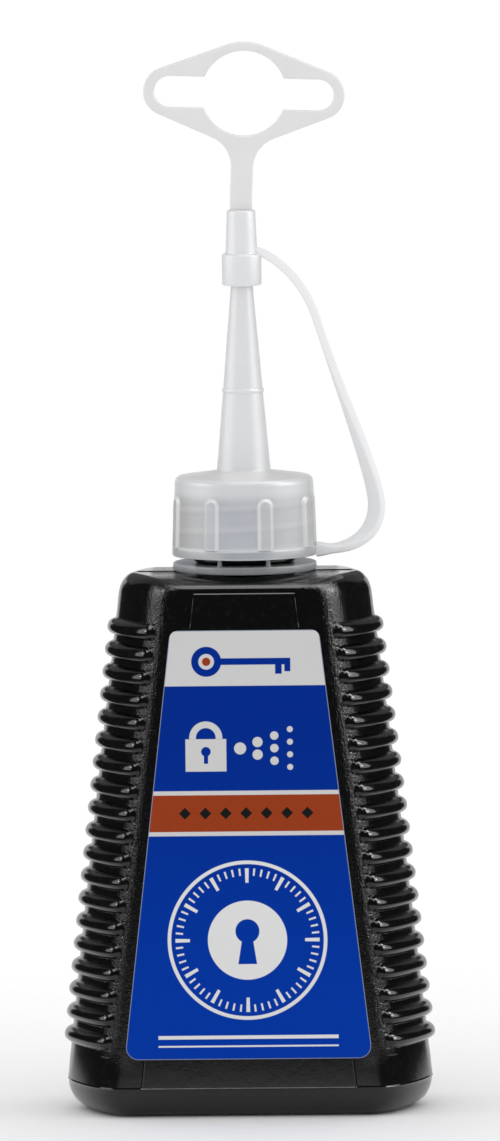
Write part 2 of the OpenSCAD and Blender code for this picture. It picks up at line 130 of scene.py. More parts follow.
# Lines that the mould leaves: round the foot, round the front insert, and over the shoulder
seam_half = 0.14
seam_out = 0.06
parting_z = 5.0
parting_out = 0.05
base_inset = 0.2
insert_low_z = parting_z
insert_high_z = body_h - 1.7
insert_low_half = 17.9
insert_high_half = 8.35
insert_line_half = 0.13
insert_line_out = 0.16
covered_line_out = 0.05
insert_flat_share = 0.9
same_level = 0.01

# Neck
neck_bore_r = 6.6
neck_wall = 1.5
neck_r = neck_bore_r + neck_wall
neck_top = bottle_high[2]
neck_lip = 0.4
neck_root = 0.6
bead_h = 0.9
bead_out = 0.4
bead_edge = 0.05
neck_plain_h = 0.6
thread_pitch = 3.6
thread_depth = 1.2
thread_root_half = 0.8
thread_crest_half = 0.4
thread_fade = 0.08
neck_thread_step = 0.2
neck_thread_z = body_h + 6.1
neck_thread_turns = 2.0

# Ring under the cap
ring_r = ring_high[0]
ring_bore_r = 8.3
ring_z = ring_low[2]
ring_h = 1.3
ring_edge = 0.3
bead_z = ring_z + ring_h + 0.1
bridge_r = 0.35
bridge_at_r = 10.8
bridge_turn = math.radians(22)

# Ends of a bridge: how much thicker it gets, and how far up from the ring's top or the rim's under side
bridge_foot = ((0.25, -0.1), (0.05, 0.2))
bridge_head = ((0.0, -0.4), (0.1, 0.0))

# Nozzle cap
rim_z = cap_low[2]
rim_h = 1.6
rim_edge = 0.25
rim_top_edge = 0.15
skirt_gap = 0.05
skirt_step = 0.5
cap_foot_r = 12.0
cap_top_r = 11.55
rim_r = cap_foot_r + 0.1
cap_thread_gap = 0.35
cap_bore_r = neck_r + thread_depth + cap_thread_gap
bore_corner = 0.4
bore_edge = 0.2
mouth_gap = 0.3
roof_t = 2.2
roof_rise = 0.8
roof_under = neck_top + mouth_gap
roof_z = roof_under + roof_t
roof_edge_r = 1.1
nozzle_z = roof_z + roof_rise
nozzle_root_r = 0.35
nozzle_top = cap_high[2]
nozzle_base_r = 4.5
nozzle_tip_r = 1.0
nozzle_tip_edge = 0.25
nozzle_tip_clear = 0.8
nozzle_hole_r = 0.45
nozzle_hole_taper = 4.0
nozzle_wall = 1.0
nozzle_plain_h = 1.5
nozzle_low_step = 2.2
nozzle_high_step = 2.5
nozzle_ridge_z = nozzle_z + 13.5
nozzle_ridge_half = 0.4
nozzle_ridge_out = 0.17
nozzle_ridge_clear = 1.0
plug_r = neck_bore_r - 0.2
plug_wall = 1.0
plug_h = 3.0
plug_funnel = 0.9
plug_edge = 0.2
plug_root = 0.3
cap_thread_z = neck_thread_z + thread_pitch / 2
cap_thread_turns = 1.5
cap_thread_depth = cap_bore_r - neck_r - cap_thread_gap
cap_thread_step = 0.22
grip_count = 8
grip_turn = math.radians(18 - 90)
grip_half = 1.15
grip_edge = 0.3
grip_out = 0.45
grip_top_z = roof_z - 3.3
grip_fine_h = 1.6
grip_fine_step = 0.15

# Tip cap, its strap and the hanging tag
tip_cap_z = tip_low[2]
tip_cap_top = tip_high[2]
collar_r = 3.3
collar_h = 5.3
tip_tube_foot_r = 2.7
tip_tube_top_r = 2.4
tip_edge = 0.35
tip_gap = 0.08
tip_waist_in = 0.1
tip_waist_h = 1.8
collar_root_r = 0.25
tip_bore_edge = 0.15
tip_bore_step = 2.0
tip_bore_top = 0.2
tip_bore_roof = 0.5
tip_roof_share = 0.6
socket_power = 12
socket_lip = 0.1
socket_lip_h = 0.12
strap_t = 1.3
strap_root_w = 3.5
strap_tip_w = 2.2
strap_reach = 9.0
strap_bow_h = 7.4
strap_twist = math.radians(50)
strap_twist_run = 1.5
strap_tip_slope = math.radians(29)
strap_round_share = 0.3
strap_root_swell = 0.5
strap_root_l = 3.2
strap_knee = (0.53, 0.74)
strap_root_pull = 0.62
strap_bow_pull = 0.14
strap_knee_pull = 0.4
strap_tip_pull = 0.3
strap_steps = 28
strap_end_steps = ((-0.5, 0.22), (-1.0, 0.36), (-1.4, 0.4))
tab_out = 1.0
tab_sink = 0.12
tag_t = tag_high[1] - tag_low[1]
tag_edge = 0.28
stem_w = 3.7
stem_gap = 0.03
stem_depth = tip_cap_top - tag_low[2]
stem_fillet_r = 5.2
stem_plain_h = 2.0
hang_z = frame["record"]["mounts"][1]["pos_m"][2] / MM
hang_hole_r = frame["record"]["mounts"][1]["dims"]["r_mm"]
slot_l = 30.0
slot_h = 5.2
tag_rim = 1.5
tag_low_rim = 0.3
slot_end_rim = 1.8
tag_tilt = math.radians(2.0)
tag_bend_l = 6.0

# Label
label_low_z = label_low[2]
label_high_z = label_high[2]
label_t = 0.12
label_margin = 0.3
label_corner_r = 1.5
label_low_corner_r = 2.1


# Shapes

def add_piece(name, points, faces, finish):
    """A piece of one finish from points in millimetres."""
    mesh = bpy.data.meshes.new(name)
    mesh.from_pydata((np.asarray(points, float) * MM).tolist(), [], faces)
    mesh.materials.append(finish)
    piece = bpy.data.objects.new(name, mesh)
    scene.collection.objects.link(piece)
    return piece


def make(name, points, faces, finish, slot, crease=40):
    """A smooth piece of the object, with edges sharper than the crease kept crisp."""
    piece = add_piece(name, points, faces, finish)
    mesh = piece.data
    shape = bmesh.new()
    shape.from_mesh(mesh)
    bmesh.ops.recalc_face_normals(shape, faces=shape.faces)
    shape.to_mesh(mesh)
    shape.free()
    mesh.polygons.foreach_set("use_smooth", [True] * len(mesh.polygons))
    mesh.set_sharp_from_angle(angle=math.radians(crease))
    return piece


def skin(rings, joined=False):
    """Points and faces through rings of equally many points. The end rings are joined or closed."""
    count = len(rings[0])
    here = np.arange(count)
    after = np.roll(here, -1)
    faces = []
    pairs = list(zip(range(len(rings) - 1), range(1, len(rings))))
    if joined:
        pairs.append((len(rings) - 1, 0))
    for a, b in pairs:
        quads = np.stack([a * count + here, a * count + after, b * count + after, b * count + here], axis=1)
        faces.extend(quads.tolist())
    if not joined:
        faces.append(here[::-1].tolist())
        faces.append(((len(rings) - 1) * count + here).tolist())
    return np.concatenate(rings), faces


def gather(*shapes):
    """Several shapes as the points and faces of one."""
    points = []
    faces = []
    for shape_points, shape_faces in shapes:
        start = sum(len(part) for part in points)
        points.append(np.asarray(shape_points, float))
        faces.extend([[start + i for i in face] for face in shape_faces])
    return np.concatenate(points), faces


def round_ring(r, z, count):
    """Ring round the axis. Its radius and height are numbers or one value for each point."""
    turn = np.arange(count) * 2 * math.pi / count
    return np.stack([r * np.cos(turn), r * np.sin(turn), np.broadcast_to(z, (count,))], axis=1)


def arc(middle, r, start, end, steps):
    """Points on an arc, with its angles in degrees."""
    turn = np.radians(np.linspace(start, end, steps + 1))
    return [(middle[0] + r * math.cos(t), middle[1] + r * math.sin(t)) for t in turn]


def ease(share):
    """Smooth rise from 0 to 1."""
    share = np.clip(share, 0, 1)
    return share * share * (3 - 2 * share)


def uneven(along):
    """Uneven height of a mould line along its length, about 0.2 to 1."""
    return 0.6 + 0.25 * np.sin(1.7 * along) + 0.15 * np.sin(4.3 * along + 1)


def plate(outline, holes, low, high, edge, place):
    """Flat plate with rounded edges. Place turns outline points and depths into points in space."""
    loops = [np.array(loop, float) for loop in (outline, *holes)]
    turns = np.linspace(0, math.pi / 2, 4)
    steps = [(edge * (1 - math.sin(t)), low + edge * (1 - math.cos(t))) for t in turns]
    steps += [(edge * (1 - math.sin(t)), high - edge * (1 - math.cos(t))) for t in turns[::-1]]
    points = []
    faces = []
    rims = []
    for loop in loops:
        ahead = np.roll(loop, -1, axis=0) - loop
        ahead /= np.linalg.norm(ahead, axis=1)[:, None]
        across = np.stack([ahead[:, 1], -ahead[:, 0]], axis=1)
        across = across + np.roll(across, 1, axis=0)
        across /= np.linalg.norm(across, axis=1)[:, None]
        start = sum(len(part) for part in points)
        rings = [place(loop - across * inward, depth) for inward, depth in steps]
        ring_points, ring_faces = skin(rings)
        points.append(ring_points)
        faces.extend([[start + i for i in face] for face in ring_faces[:-2]])
        rims.append((start, start + (len(steps) - 1) * len(loop), loop - across * edge))
    flat = tessellate_polygon([[Vector((u, v, 0)) for u, v in rim[2]] for rim in rims])
    for side in (0, 1):
        index = [rim[side] + i for rim in rims for i in range(len(rim[2]))]
        faces.extend([[index[i] for i in triangle] for triangle in flat])
    return np.concatenate(points), faces


# Body of the bottle: rings with bowed sides, whose columns follow the ribs' ends and the insert's lines

def half_w(z):
    """Half width of the body at a height, with the slight swell of its sides."""
    share = z / body_h
    return foot_half_w + (top_half_w - foot_half_w) * share + side_swell * 4 * share * (1 - share)


def half_d(z):
    """Half depth of the body at a height."""
    return foot_half_d + (top_half_d - foot_half_d) * z / body_h


def insert_half(z):
    """Half width of the mould's front insert at a height."""
    share = (z - insert_low_z) / (insert_high_z - insert_low_z)
    return insert_low_half + (insert_high_half - insert_low_half) * share


def drawn_in(r, past):
    """How far a rounded edge has come in, past its start."""
    return 0.0 if past <= 0 else r - math.sqrt(max(0.0, r * r - past * past))


def rib_height(distance, half, out):
    """How far a rib of some half height stands out at a distance from its middle, with a fillet below."""
    curve_r = (half**2 + out**2) / (2 * out)
    inside = np.minimum(distance, half)
    rise = np.sqrt(curve_r**2 - inside**2) - curve_r + out
    rise = rise - (distance - inside) * half / (curve_r - out)
    return (rise + np.sqrt(rise**2 + rib_fillet**2)) / 2 - rib_sink


def quarter_columns():
    """Columns of a quarter ring, from the seam of a side to the middle of the front.

    Each is the share of the bowed side, the shares of the front's flat inside and outside the insert, and a
    distance from the insert's line.
    """
    seam = (0, 0.02, 0.04, 0.08, 0.14, 0.2, 0.27, 0.34, 0.41, 0.48, 0.54)
    side = (*seam, *np.arange(0.58, 0.93, 0.0125), 0.94, 0.96, 0.98)
    front = [(1, 1, 0), (1, 0.6, 0), (1, 0.25, 0)]
    front += [(1, 0, k * insert_line_half) for k in (2, 1, 0, -1, -2)]
    front += [(0.75, 0, 0), (0.5, 0, 0), (0.25, 0, 0), (0, 0, 0)]
    rows = [(share, 1, 1, 0) for share in side]
    rows += [(1, inside, outside, mm) for inside, outside, mm in front]
    return np.array(rows, float)


quarter = quarter_columns()
quarter_count = len(quarter)


def all_round(quarter_values):
    """Values of the quarter's columns for all four quarters, in order round the ring."""
    there = quarter_values
    back = quarter_values[::-1]
    return np.concatenate([there, back[1:], there[1:], back[1:-1]])


column_count = len(all_round(quarter[:, 0]))
side_x = np.repeat((1, -1, 1), (quarter_count, 2 * quarter_count - 2, quarter_count - 2))
side_y = np.repeat((1, -1), (2 * quarter_count - 1, 2 * quarter_count - 3))


def side_curve(half_x, half_y, bow):
    """Points of a quarter ring's columns, and the way out of the wall at each."""
    s = quarter[:, :1]
    t = 1 - s
    a = np.array([half_x, 0])
    b = np.array([half_x, half_y * seam_handle])
    c = np.array([half_x - bow * front_handle, half_y])
    d = np.array([half_x - bow, half_y])
    points = t**3 * a + 3 * t * t * s * b + 3 * t * s * s * c + s**3 * d
    ways = t * t * (b - a) + 2 * t * s * (c - b) + s * s * (d - c)
    ways /= np.linalg.norm(ways, axis=1)[:, None]
    return points, np.stack([ways[:, 1], -ways[:, 0]], axis=1)


def level_ring(half_x, half_y, bow, out, insert, z):
    """Ring with a flat front and back and bowed sides, which stands out by some distance at each column."""
    share, inside, outside, past = quarter.T
    points, ways = side_curve(half_x, half_y, bow)
    flat = half_x - bow
    insert = min(insert, flat * insert_flat_share)
    on_flat = inside * insert + outside * (flat - insert) + past
    x = np.where(share == 1, on_flat, points[:, 0]) + out * ways[:, 0]
    y = points[:, 1] + out * ways[:, 1]
    return np.stack([all_round(x) * side_x, all_round(y) * side_y, np.full(column_count, z)], axis=1)


def rib_columns(half_x, half_y, up):
    """How far a rib stands out at each column of a quarter, at a height above its middle."""
    points = side_curve(half_x, half_y, side_bow)[0]
    run = np.concatenate([[0], np.cumsum(np.linalg.norm(np.diff(points, axis=0), axis=1))])
    tip_run = np.interp(rib_reach, half_x - points[:, 0], run)
    taper = ease((run - tip_run) / rib_taper_l + 1)
    half = rib_half + (rib_tip_half - rib_half) * taper
    out = rib_out + (rib_tip_out - rib_out) * taper
    past_end = np.maximum(run - tip_run + rib_tip_half, 0)
    height = rib_height(np.hypot(up, past_end), half, out)
    return np.where(quarter[:, 0] == 1, 0, height)


def crown_lift(ring, half_y):
    """How far the crowned shoulder lies above its front edge, at each point of a ring of some half depth."""
    y_share = np.minimum(np.abs(ring[:, 1]) / half_y, 1)
    return shoulder_crown * (1 - y_share**crown_power)


def wall_ring(z):
    """Ring of the body's outer wall, with its ribs and mould lines."""
    share, inside, outside, past = quarter.T
    below_parting = float(1 - ease((z - parting_z) / (2 * seam_half) + 1))
    foot_in = drawn_in(foot_r, foot_r - z) + base_inset * below_parting
    side_in = foot_in + drawn_in(shoulder_side_r, z - body_h + shoulder_side_r)
    front_in = foot_in + drawn_in(shoulder_front_r, z - body_h + shoulder_front_r)
    out = np.zeros(quarter_count)
    if rib_low_z - 2 * rib_half < z < rib_high_z + 2 * rib_half:
        nearest = min(max(round((z - rib_low_z) / rib_pitch), 0), rib_count - 1)
        out += rib_columns(half_w(z), half_d(z), z - rib_low_z - nearest * rib_pitch)
    out += np.where(share == 0, seam_out * uneven(z), 0)
    on_front = share == 1
    on_line = on_front & (inside == 1) & (outside == 0) & (past == 0)
    if insert_low_z <= z <= insert_high_z:
        covered = label_low_z - seam_half < z < label_high_z + seam_half
        out += np.where(on_line, (covered_line_out if covered else insert_line_out) * uneven(z), 0)
    in_insert = on_front & (outside == 0) & (past <= 0)
    if abs(z - parting_z) < same_level:
        out += np.where(in_insert, insert_line_out, parting_out)
    if abs(z - insert_high_z) < same_level:
        out += np.where(in_insert, insert_line_out, 0)
    wall_d = half_d(z) - front_in
    ring = level_ring(half_w(z) - side_in, wall_d, side_bow - side_in / 2, out, insert_half(z), z)
    up_the_round = min(max((z - body_h) / shoulder_side_r + 1, 0), 1)
    ring[:, 2] += up_the_round * crown_lift(ring, wall_d)
    return ring


def wall_levels():
    """Heights of the body's rings, close together at the rounded edges, the ribs and the mould lines."""
    levels = [foot_r * (1 - math.cos(t)) for t in np.radians(np.arange(0, 84, 6.5))]
    levels += [parting_z + k * seam_half for k in (-2, -1, 0, 1, 2)]
    levels += [insert_high_z + k * seam_half for k in (-2, -1, 0, 1)]
    levels += plain_levels
    steps = rib_half * np.array(rib_steps)
    for z in np.linspace(rib_low_z, rib_high_z, rib_count):
        levels += [z, *(z - steps), *(z + steps)]
    levels += [body_h - shoulder_side_r * (1 - math.sin(t)) for t in np.radians(np.arange(0, 91, 6))]
    return sorted(set(round(z, 5) for z in levels))


def inside_ring(z, more):
    """Ring of the bottle's inside, drawn in some way further."""
    inset = body_wall + more
    bow = side_bow - inset / 2
    return level_ring(half_w(z) - inset, half_d(z) - inset, bow, np.zeros(quarter_count), insert_half(z), z)


def thread_share(turn, z, start_z, turns):
    """Share of a thread's depth at a turn round the axis and a height, fading in and out at its ends."""
    at = turn / (2 * math.pi)
    lap = np.clip(np.round((z - start_z) / thread_pitch - at), 0, np.floor(turns - at))
    along = at + lap
    away = np.abs(z - start_z - thread_pitch * along)
    share = ease((thread_root_half - away) / (thread_root_half - thread_crest_half))
    return share * ease(along / thread_fade) * ease((turns - along) / thread_fade)


def bottle_shape():
    """Closed shell of the bottle: base, wall, shoulder, threaded neck and inside."""
    count = column_count
    turn = np.arange(count) * 2 * math.pi / count
    foot = wall_ring(0.0)
    rings = [foot * (share, share, 1) + (0, 0, base_hollow * lift) for share, lift in hollow_steps]
    rings += [wall_ring(z) for z in wall_levels()]
    edge = rings[-1]
    root = round_ring(neck_r + neck_root, 0, count)
    on_seam = np.isin(np.arange(count), (0, 2 * quarter_count - 2))
    for share in shoulder_steps:
        ring = edge + (root - edge) * share
        ring[:, 2] = body_h + crown_lift(ring, edge[:, 1].max()) + np.where(on_seam, 2 * seam_out, 0)
        rings.append(ring)
    root_z = rings[-1][:, 2]
    for t in np.radians((30, 60, 90)):
        r = neck_r + neck_root * (1 - math.sin(t))
        rings.append(round_ring(r, root_z + neck_root * (1 - math.cos(t)), count))
    bead_half = bead_h / 2
    bead_top = bead_z + bead_h
    profile = [(neck_r, bead_z - bead_edge)]
    for t in np.radians(np.arange(-75, 76, 25)):
        profile.append((neck_r + bead_out * math.cos(t), bead_z + bead_half + bead_half * math.sin(t)))
    profile.append((neck_r, bead_top + bead_edge))
    rings += [round_ring(r, z, count) for r, z in profile]
    lip_z = neck_top - neck_lip
    for z in np.arange(bead_top + neck_plain_h, lip_z, neck_thread_step):
        share = thread_share(turn, z, neck_thread_z, neck_thread_turns)
        rings.append(round_ring(neck_r + thread_depth * share, z, count))
    inside_z = body_h - body_wall
    profile = arc((neck_r - neck_lip, lip_z), neck_lip, 0, 90, 3)
    profile += arc((neck_bore_r + neck_lip, lip_z), neck_lip, 90, 180, 3)
    profile += [(neck_bore_r, body_h), (neck_bore_r + body_wall / 2, inside_z)]
    rings += [round_ring(r, z, count) for r, z in profile]
    rings += [inside_ring(inside_z - drop, more) for drop, more in inside_top_round]
    rings += [inside_ring(z, 0.0) for z in (*inside_levels, foot_r + body_wall)]
    rings += [inside_ring(body_wall + base_hollow + rise, more) for rise, more in inside_foot_round]
    return skin(rings)


def powder_shape():
    """Powder inside the bottle, with an uneven level on top."""
    top_z = fill_high[2]
    low_z = body_wall + base_hollow + powder_gap
    rings = [inside_ring(low_z + rise, powder_gap + more) for rise, more in powder_foot_round]
    levels = (foot_r + body_wall, inside_levels[1], top_z - powder_edge_drop)
    rings += [inside_ring(z, powder_gap) for z in levels]
    top = rings[-1]
    for share in powder_steps:
        level = top * (share, share, 1)
        heaps = np.sin(level[:, 0] / 3) * np.cos(level[:, 1] / 2.5)
        level[:, 2] = top_z - powder_drop + powder_heap_h * heaps
        rings.append(level)
    return skin(rings)


# Label, cap, ring, strap, tip cap and tag

def label_halves():
    """Half widths of the label at its foot and its top."""
    return [half_w(z) - side_bow - label_margin for z in (label_low_z, label_high_z)]


def label_rounds():
    """Lean of the label's sides in degrees, and how far in the middles of its lower and upper rounds lie."""
    low_x, high_x = label_halves()
    lean = math.degrees(math.atan2(low_x - high_x, label_high_z - label_low_z))
    low_in = label_low_corner_r * math.tan(math.radians(45 + lean / 2))
    high_in = label_corner_r * math.tan(math.radians(45 - lean / 2))
    return lean, low_in, high_in


def label_shape():
    """Printed film on the flat front, with round corners."""
    low_x, high_x = label_halves()
    lean, low_in, high_in = label_rounds()
    high_at = label_high_z - label_corner_r
    low_at = label_low_z + label_low_corner_r
    outline = arc((high_x - high_in, high_at), label_corner_r, lean, 90, 6)
    outline += arc((high_in - high_x, high_at), label_corner_r, 90, 180 - lean, 6)
    outline += arc((low_in - low_x, low_at), label_low_corner_r, 180 - lean, 270, 8)
    outline += arc((low_x - low_in, low_at), label_low_corner_r, 270, 360 + lean, 8)

    def place(points, depth):
        x, z = points.T
        return np.stack([x, -half_d(z) - depth, z], axis=1)

    return plate(outline, [], 0.0, label_t, label_t / 3, place)


def nozzle_r(z):
    """Radius of the nozzle at a height."""
    return nozzle_base_r + (nozzle_tip_r - nozzle_base_r) * (z - nozzle_z) / (nozzle_top - nozzle_z)


def cap_shape():
    """Cap with grips outside, thread and plug inside, and the nozzle on its roof."""
    count = 384
    turn = np.arange(count) * 2 * math.pi / count
    grip_step = 2 * math.pi / grip_count
    from_grip = (turn - grip_turn + grip_step / 2) % grip_step - grip_step / 2

    def skirt_ring(z):
        r = cap_foot_r + (cap_top_r - cap_foot_r) * (z - rim_z) / (roof_z - rim_z)
        away = np.hypot(from_grip * r, np.maximum(z - grip_top_z + grip_half, 0))
        rise = grip_out * (1 - ease((away - grip_half) / (2 * grip_edge) + 0.5))
        return round_ring(r + rise, z, count)

    profile = arc((rim_r - rim_edge, rim_z + rim_edge), rim_edge, -90, 0, 4)
    profile += arc((rim_r - rim_top_edge, rim_z + rim_h - rim_top_edge), rim_top_edge, 0, 90, 3)
    rings = [round_ring(r, z, count) for r, z in profile]
    grip_fine_z = grip_top_z - grip_fine_h
    rings += [skirt_ring(z) for z in np.arange(rim_z + rim_h + skirt_gap, grip_fine_z, skirt_step)]
    rings += [skirt_ring(z) for z in np.arange(grip_fine_z, roof_z - roof_edge_r, grip_fine_step)]
    edge_r = cap_top_r + (cap_foot_r - cap_top_r) * roof_edge_r / (roof_z - rim_z)
    profile = arc((edge_r - roof_edge_r, roof_z - roof_edge_r), roof_edge_r, 0, 82, 9)
    root_r = nozzle_base_r + nozzle_root_r
    profile += arc((root_r, nozzle_z + nozzle_root_r), nozzle_root_r, 262, 185, 5)
    low_levels = np.arange(nozzle_z + nozzle_plain_h, nozzle_ridge_z - nozzle_ridge_clear, nozzle_low_step)
    profile += [(nozzle_r(z), z) for z in low_levels]
    for t in np.radians(np.arange(-90, 91, 30)):
        z = nozzle_ridge_z + nozzle_ridge_half * math.sin(t)
        profile.append((nozzle_r(z) + nozzle_ridge_out * math.cos(t), z))
    high_levels = np.arange(nozzle_ridge_z + nozzle_plain_h, nozzle_top - nozzle_tip_clear, nozzle_high_step)
    profile += [(nozzle_r(z), z) for z in high_levels]
    profile += arc((nozzle_tip_r - nozzle_tip_edge, nozzle_top - nozzle_tip_edge), nozzle_tip_edge, 0, 90, 3)
    hole_share = (nozzle_base_r - nozzle_hole_r - nozzle_wall) / (nozzle_base_r - nozzle_tip_r)
    hole_z = nozzle_z + hole_share * (nozzle_top - nozzle_z)
    profile += [(nozzle_hole_r, nozzle_top), (nozzle_hole_r, hole_z)]
    profile += [(nozzle_r(z) - nozzle_wall, z) for z in np.linspace(hole_z - nozzle_hole_taper, nozzle_z, 8)]
    plug_in_r = plug_r - plug_wall
    plug_z = roof_under - plug_h
    profile += [(plug_in_r - side, roof_under + side) for side in (plug_funnel, plug_edge)]
    profile += [(plug_in_r, roof_under - bore_corner)]
    profile += arc((plug_r - plug_wall / 2, plug_z + plug_wall / 2), plug_wall / 2, 180, 360, 8)
    profile += [(plug_r, roof_under - plug_root), (plug_r + plug_root, roof_under)]
    profile += [(cap_bore_r - bore_corner, roof_under)]
    rings += [round_ring(r, z, count) for r, z in profile]
    for z in np.arange(roof_under - bore_corner, rim_z + bore_corner, -cap_thread_step):
        share = thread_share(turn, z, cap_thread_z, cap_thread_turns)
        rings.append(round_ring(cap_bore_r - cap_thread_depth * share, z, count))
    for r, z in ((cap_bore_r, rim_z + bore_edge), (cap_bore_r + bore_edge, rim_z)):
        rings.append(round_ring(r, z, count))
    return skin(rings, joined=True)


def ring_shape():
    """Flat ring with round edges and four thin bridges that stand on it."""
    count = 144
    profile = []
    for middle_r, middle_z, start in ((ring_r, ring_z, -90), (ring_r, ring_z + ring_h, 0),
                                      (ring_bore_r, ring_z + ring_h, 90), (ring_bore_r, ring_z, 180)):
        r = middle_r - ring_edge if start in (-90, 0) else middle_r + ring_edge
        z = middle_z + ring_edge if start in (-90, 180) else middle_z - ring_edge
        profile += arc((r, z), ring_edge, start, start + 90, 4)
    shapes = [skin([round_ring(r, z, count) for r, z in profile], joined=True)]
    for front in (-1, 1):
        for side in (-1, 1):
            x = side * bridge_at_r * math.sin(bridge_turn)
            y = front * bridge_at_r * math.cos(bridge_turn)
            bars = [(bridge_r + more, ring_z + ring_h + rise) for more, rise in bridge_foot]
            bars += [(bridge_r + more, rim_z + rise) for more, rise in bridge_head]
            shapes.append(skin([round_ring(r, z, 16) + (x, y, 0) for r, z in bars]))
    return gather(*shapes)


def strap_line():
    """Middle line of the strap in the plane of the axis, from the cap's rim to the tip cap."""
    root = np.array([rim_r + tab_out, rim_z + rim_h / 2])
    bow = root + (strap_reach, strap_bow_h)
    tip = np.array([tip_tube_foot_r + tab_out, tip_cap_z + collar_h])
    knee = bow + (tip - bow) * strap_knee
    run = knee - bow
    over = np.linalg.norm(tip - knee)
    knee_way = run / np.linalg.norm(run)
    tip_way = np.array([math.cos(strap_tip_slope), -math.sin(strap_tip_slope)])
    up = np.array([0, 1.0])
    out = np.array([1.0, 0])
    curves = (
        (root, root + out * strap_reach * strap_root_pull, bow - up * strap_bow_h * strap_root_pull, bow),
        (bow, bow + up * np.linalg.norm(run) * strap_bow_pull, knee - run * strap_knee_pull, knee),
        (knee, knee + knee_way * over * strap_knee_pull, tip + tip_way * over * strap_tip_pull, tip),
    )
    line = [root - out * (tab_out + tab_sink), root - out * tab_out * 0.5]
    for a, b, c, d in curves:
        for s in np.arange(0, 1, 1 / strap_steps):
            line.append((1 - s) ** 3 * a + 3 * (1 - s) ** 2 * s * b + 3 * (1 - s) * s**2 * c + s**3 * d)
    line += [tip] + [tip + step for step in strap_end_steps]
    return np.array(line)


def strap_shape():
    """Flat strap with round edges, thicker at its root, turned about its own line between its ends."""
    line = strap_line()
    ways = np.gradient(line, axis=0)
    ways /= np.linalg.norm(ways, axis=1)[:, None]
    run = np.concatenate([[0], np.cumsum(np.linalg.norm(np.diff(line, axis=0), axis=1))])
    along = np.linspace(0, 1, len(line))
    rings = []
    section = []
    for corner_x, corner_y, start in ((1, 1, 0), (-1, 1, 90), (-1, -1, 180), (1, -1, 270)):
        for t in np.radians(np.linspace(start, start + 90, 5)):
            section.append((corner_x, corner_y, math.cos(t), math.sin(t)))
    for middle, way, share, length in zip(line, ways, along, run):
        half_width = (strap_root_w + (strap_tip_w - strap_root_w) * share) / 2
        half_t = strap_t / 2 + strap_root_swell * float(1 - ease(length / strap_root_l))
        turn = strap_twist * math.sin(math.pi * min(1, share * strap_twist_run)) ** 2
        across = np.array([-way[1] * math.sin(turn), math.cos(turn), way[0] * math.sin(turn)])
        out = np.array([-way[1] * math.cos(turn), -math.sin(turn), way[0] * math.cos(turn)])
        r = strap_t * strap_round_share
        ring = []
        for corner_x, corner_y, round_x, round_y in section:
            u = corner_x * (half_width - r) + r * round_x
            v = corner_y * (half_t - r) + r * round_y
            ring.append(np.array([middle[0], 0, middle[1]]) + across * u + out * v)
        rings.append(np.array(ring))
    return skin(rings)


def tip_cap_shape():
    """Tip cap: a tube with a collar, a bore that fits the nozzle and a socket for the tag's stem."""
    count = 96
    turn = np.arange(count) * 2 * math.pi / count
    web_z = tip_cap_top - stem_depth

    def socket_ring(more, z):
        half_x = stem_w / 2 + stem_gap + more
        half_y = tag_t / 2 + stem_gap + more
        across = (np.abs(np.cos(turn)) / half_x) ** socket_power
        along = (np.abs(np.sin(turn)) / half_y) ** socket_power
        return round_ring(1 / (across + along) ** (1 / socket_power), z, count)

    rings = [socket_ring(0, web_z), socket_ring(0, tip_cap_top - socket_lip_h)]
    rings.append(socket_ring(socket_lip, tip_cap_top))
    collar_top = tip_cap_z + collar_h
    profile = arc((tip_tube_top_r - tip_edge, tip_cap_top - tip_edge), tip_edge, 90, 2, 4)
    profile += [(tip_tube_foot_r - tip_waist_in, collar_top + tip_waist_h)]
    profile += arc((tip_tube_foot_r + collar_root_r, collar_top + collar_root_r), collar_root_r, 182, 268, 4)
    profile += arc((collar_r - tip_edge, collar_top - tip_edge), tip_edge, 88, 0, 4)
    profile += arc((collar_r - tip_edge, tip_cap_z + tip_edge), tip_edge, 0, -90, 4)
    bore = nozzle_r(tip_cap_z) + tip_gap
    profile += [(bore + tip_bore_edge, tip_cap_z), (bore, tip_cap_z + tip_bore_edge)]
    bore_levels = np.arange(tip_cap_z + tip_bore_step, nozzle_top, tip_bore_step)
    profile += [(nozzle_r(z) + tip_gap, z) for z in bore_levels]
    profile += [(nozzle_tip_r + tip_gap, nozzle_top + tip_bore_top)]
    profile += [(nozzle_tip_r * tip_roof_share, nozzle_top + tip_bore_roof)]
    rings += [round_ring(r, z, count) for r, z in profile]
    return skin(rings)


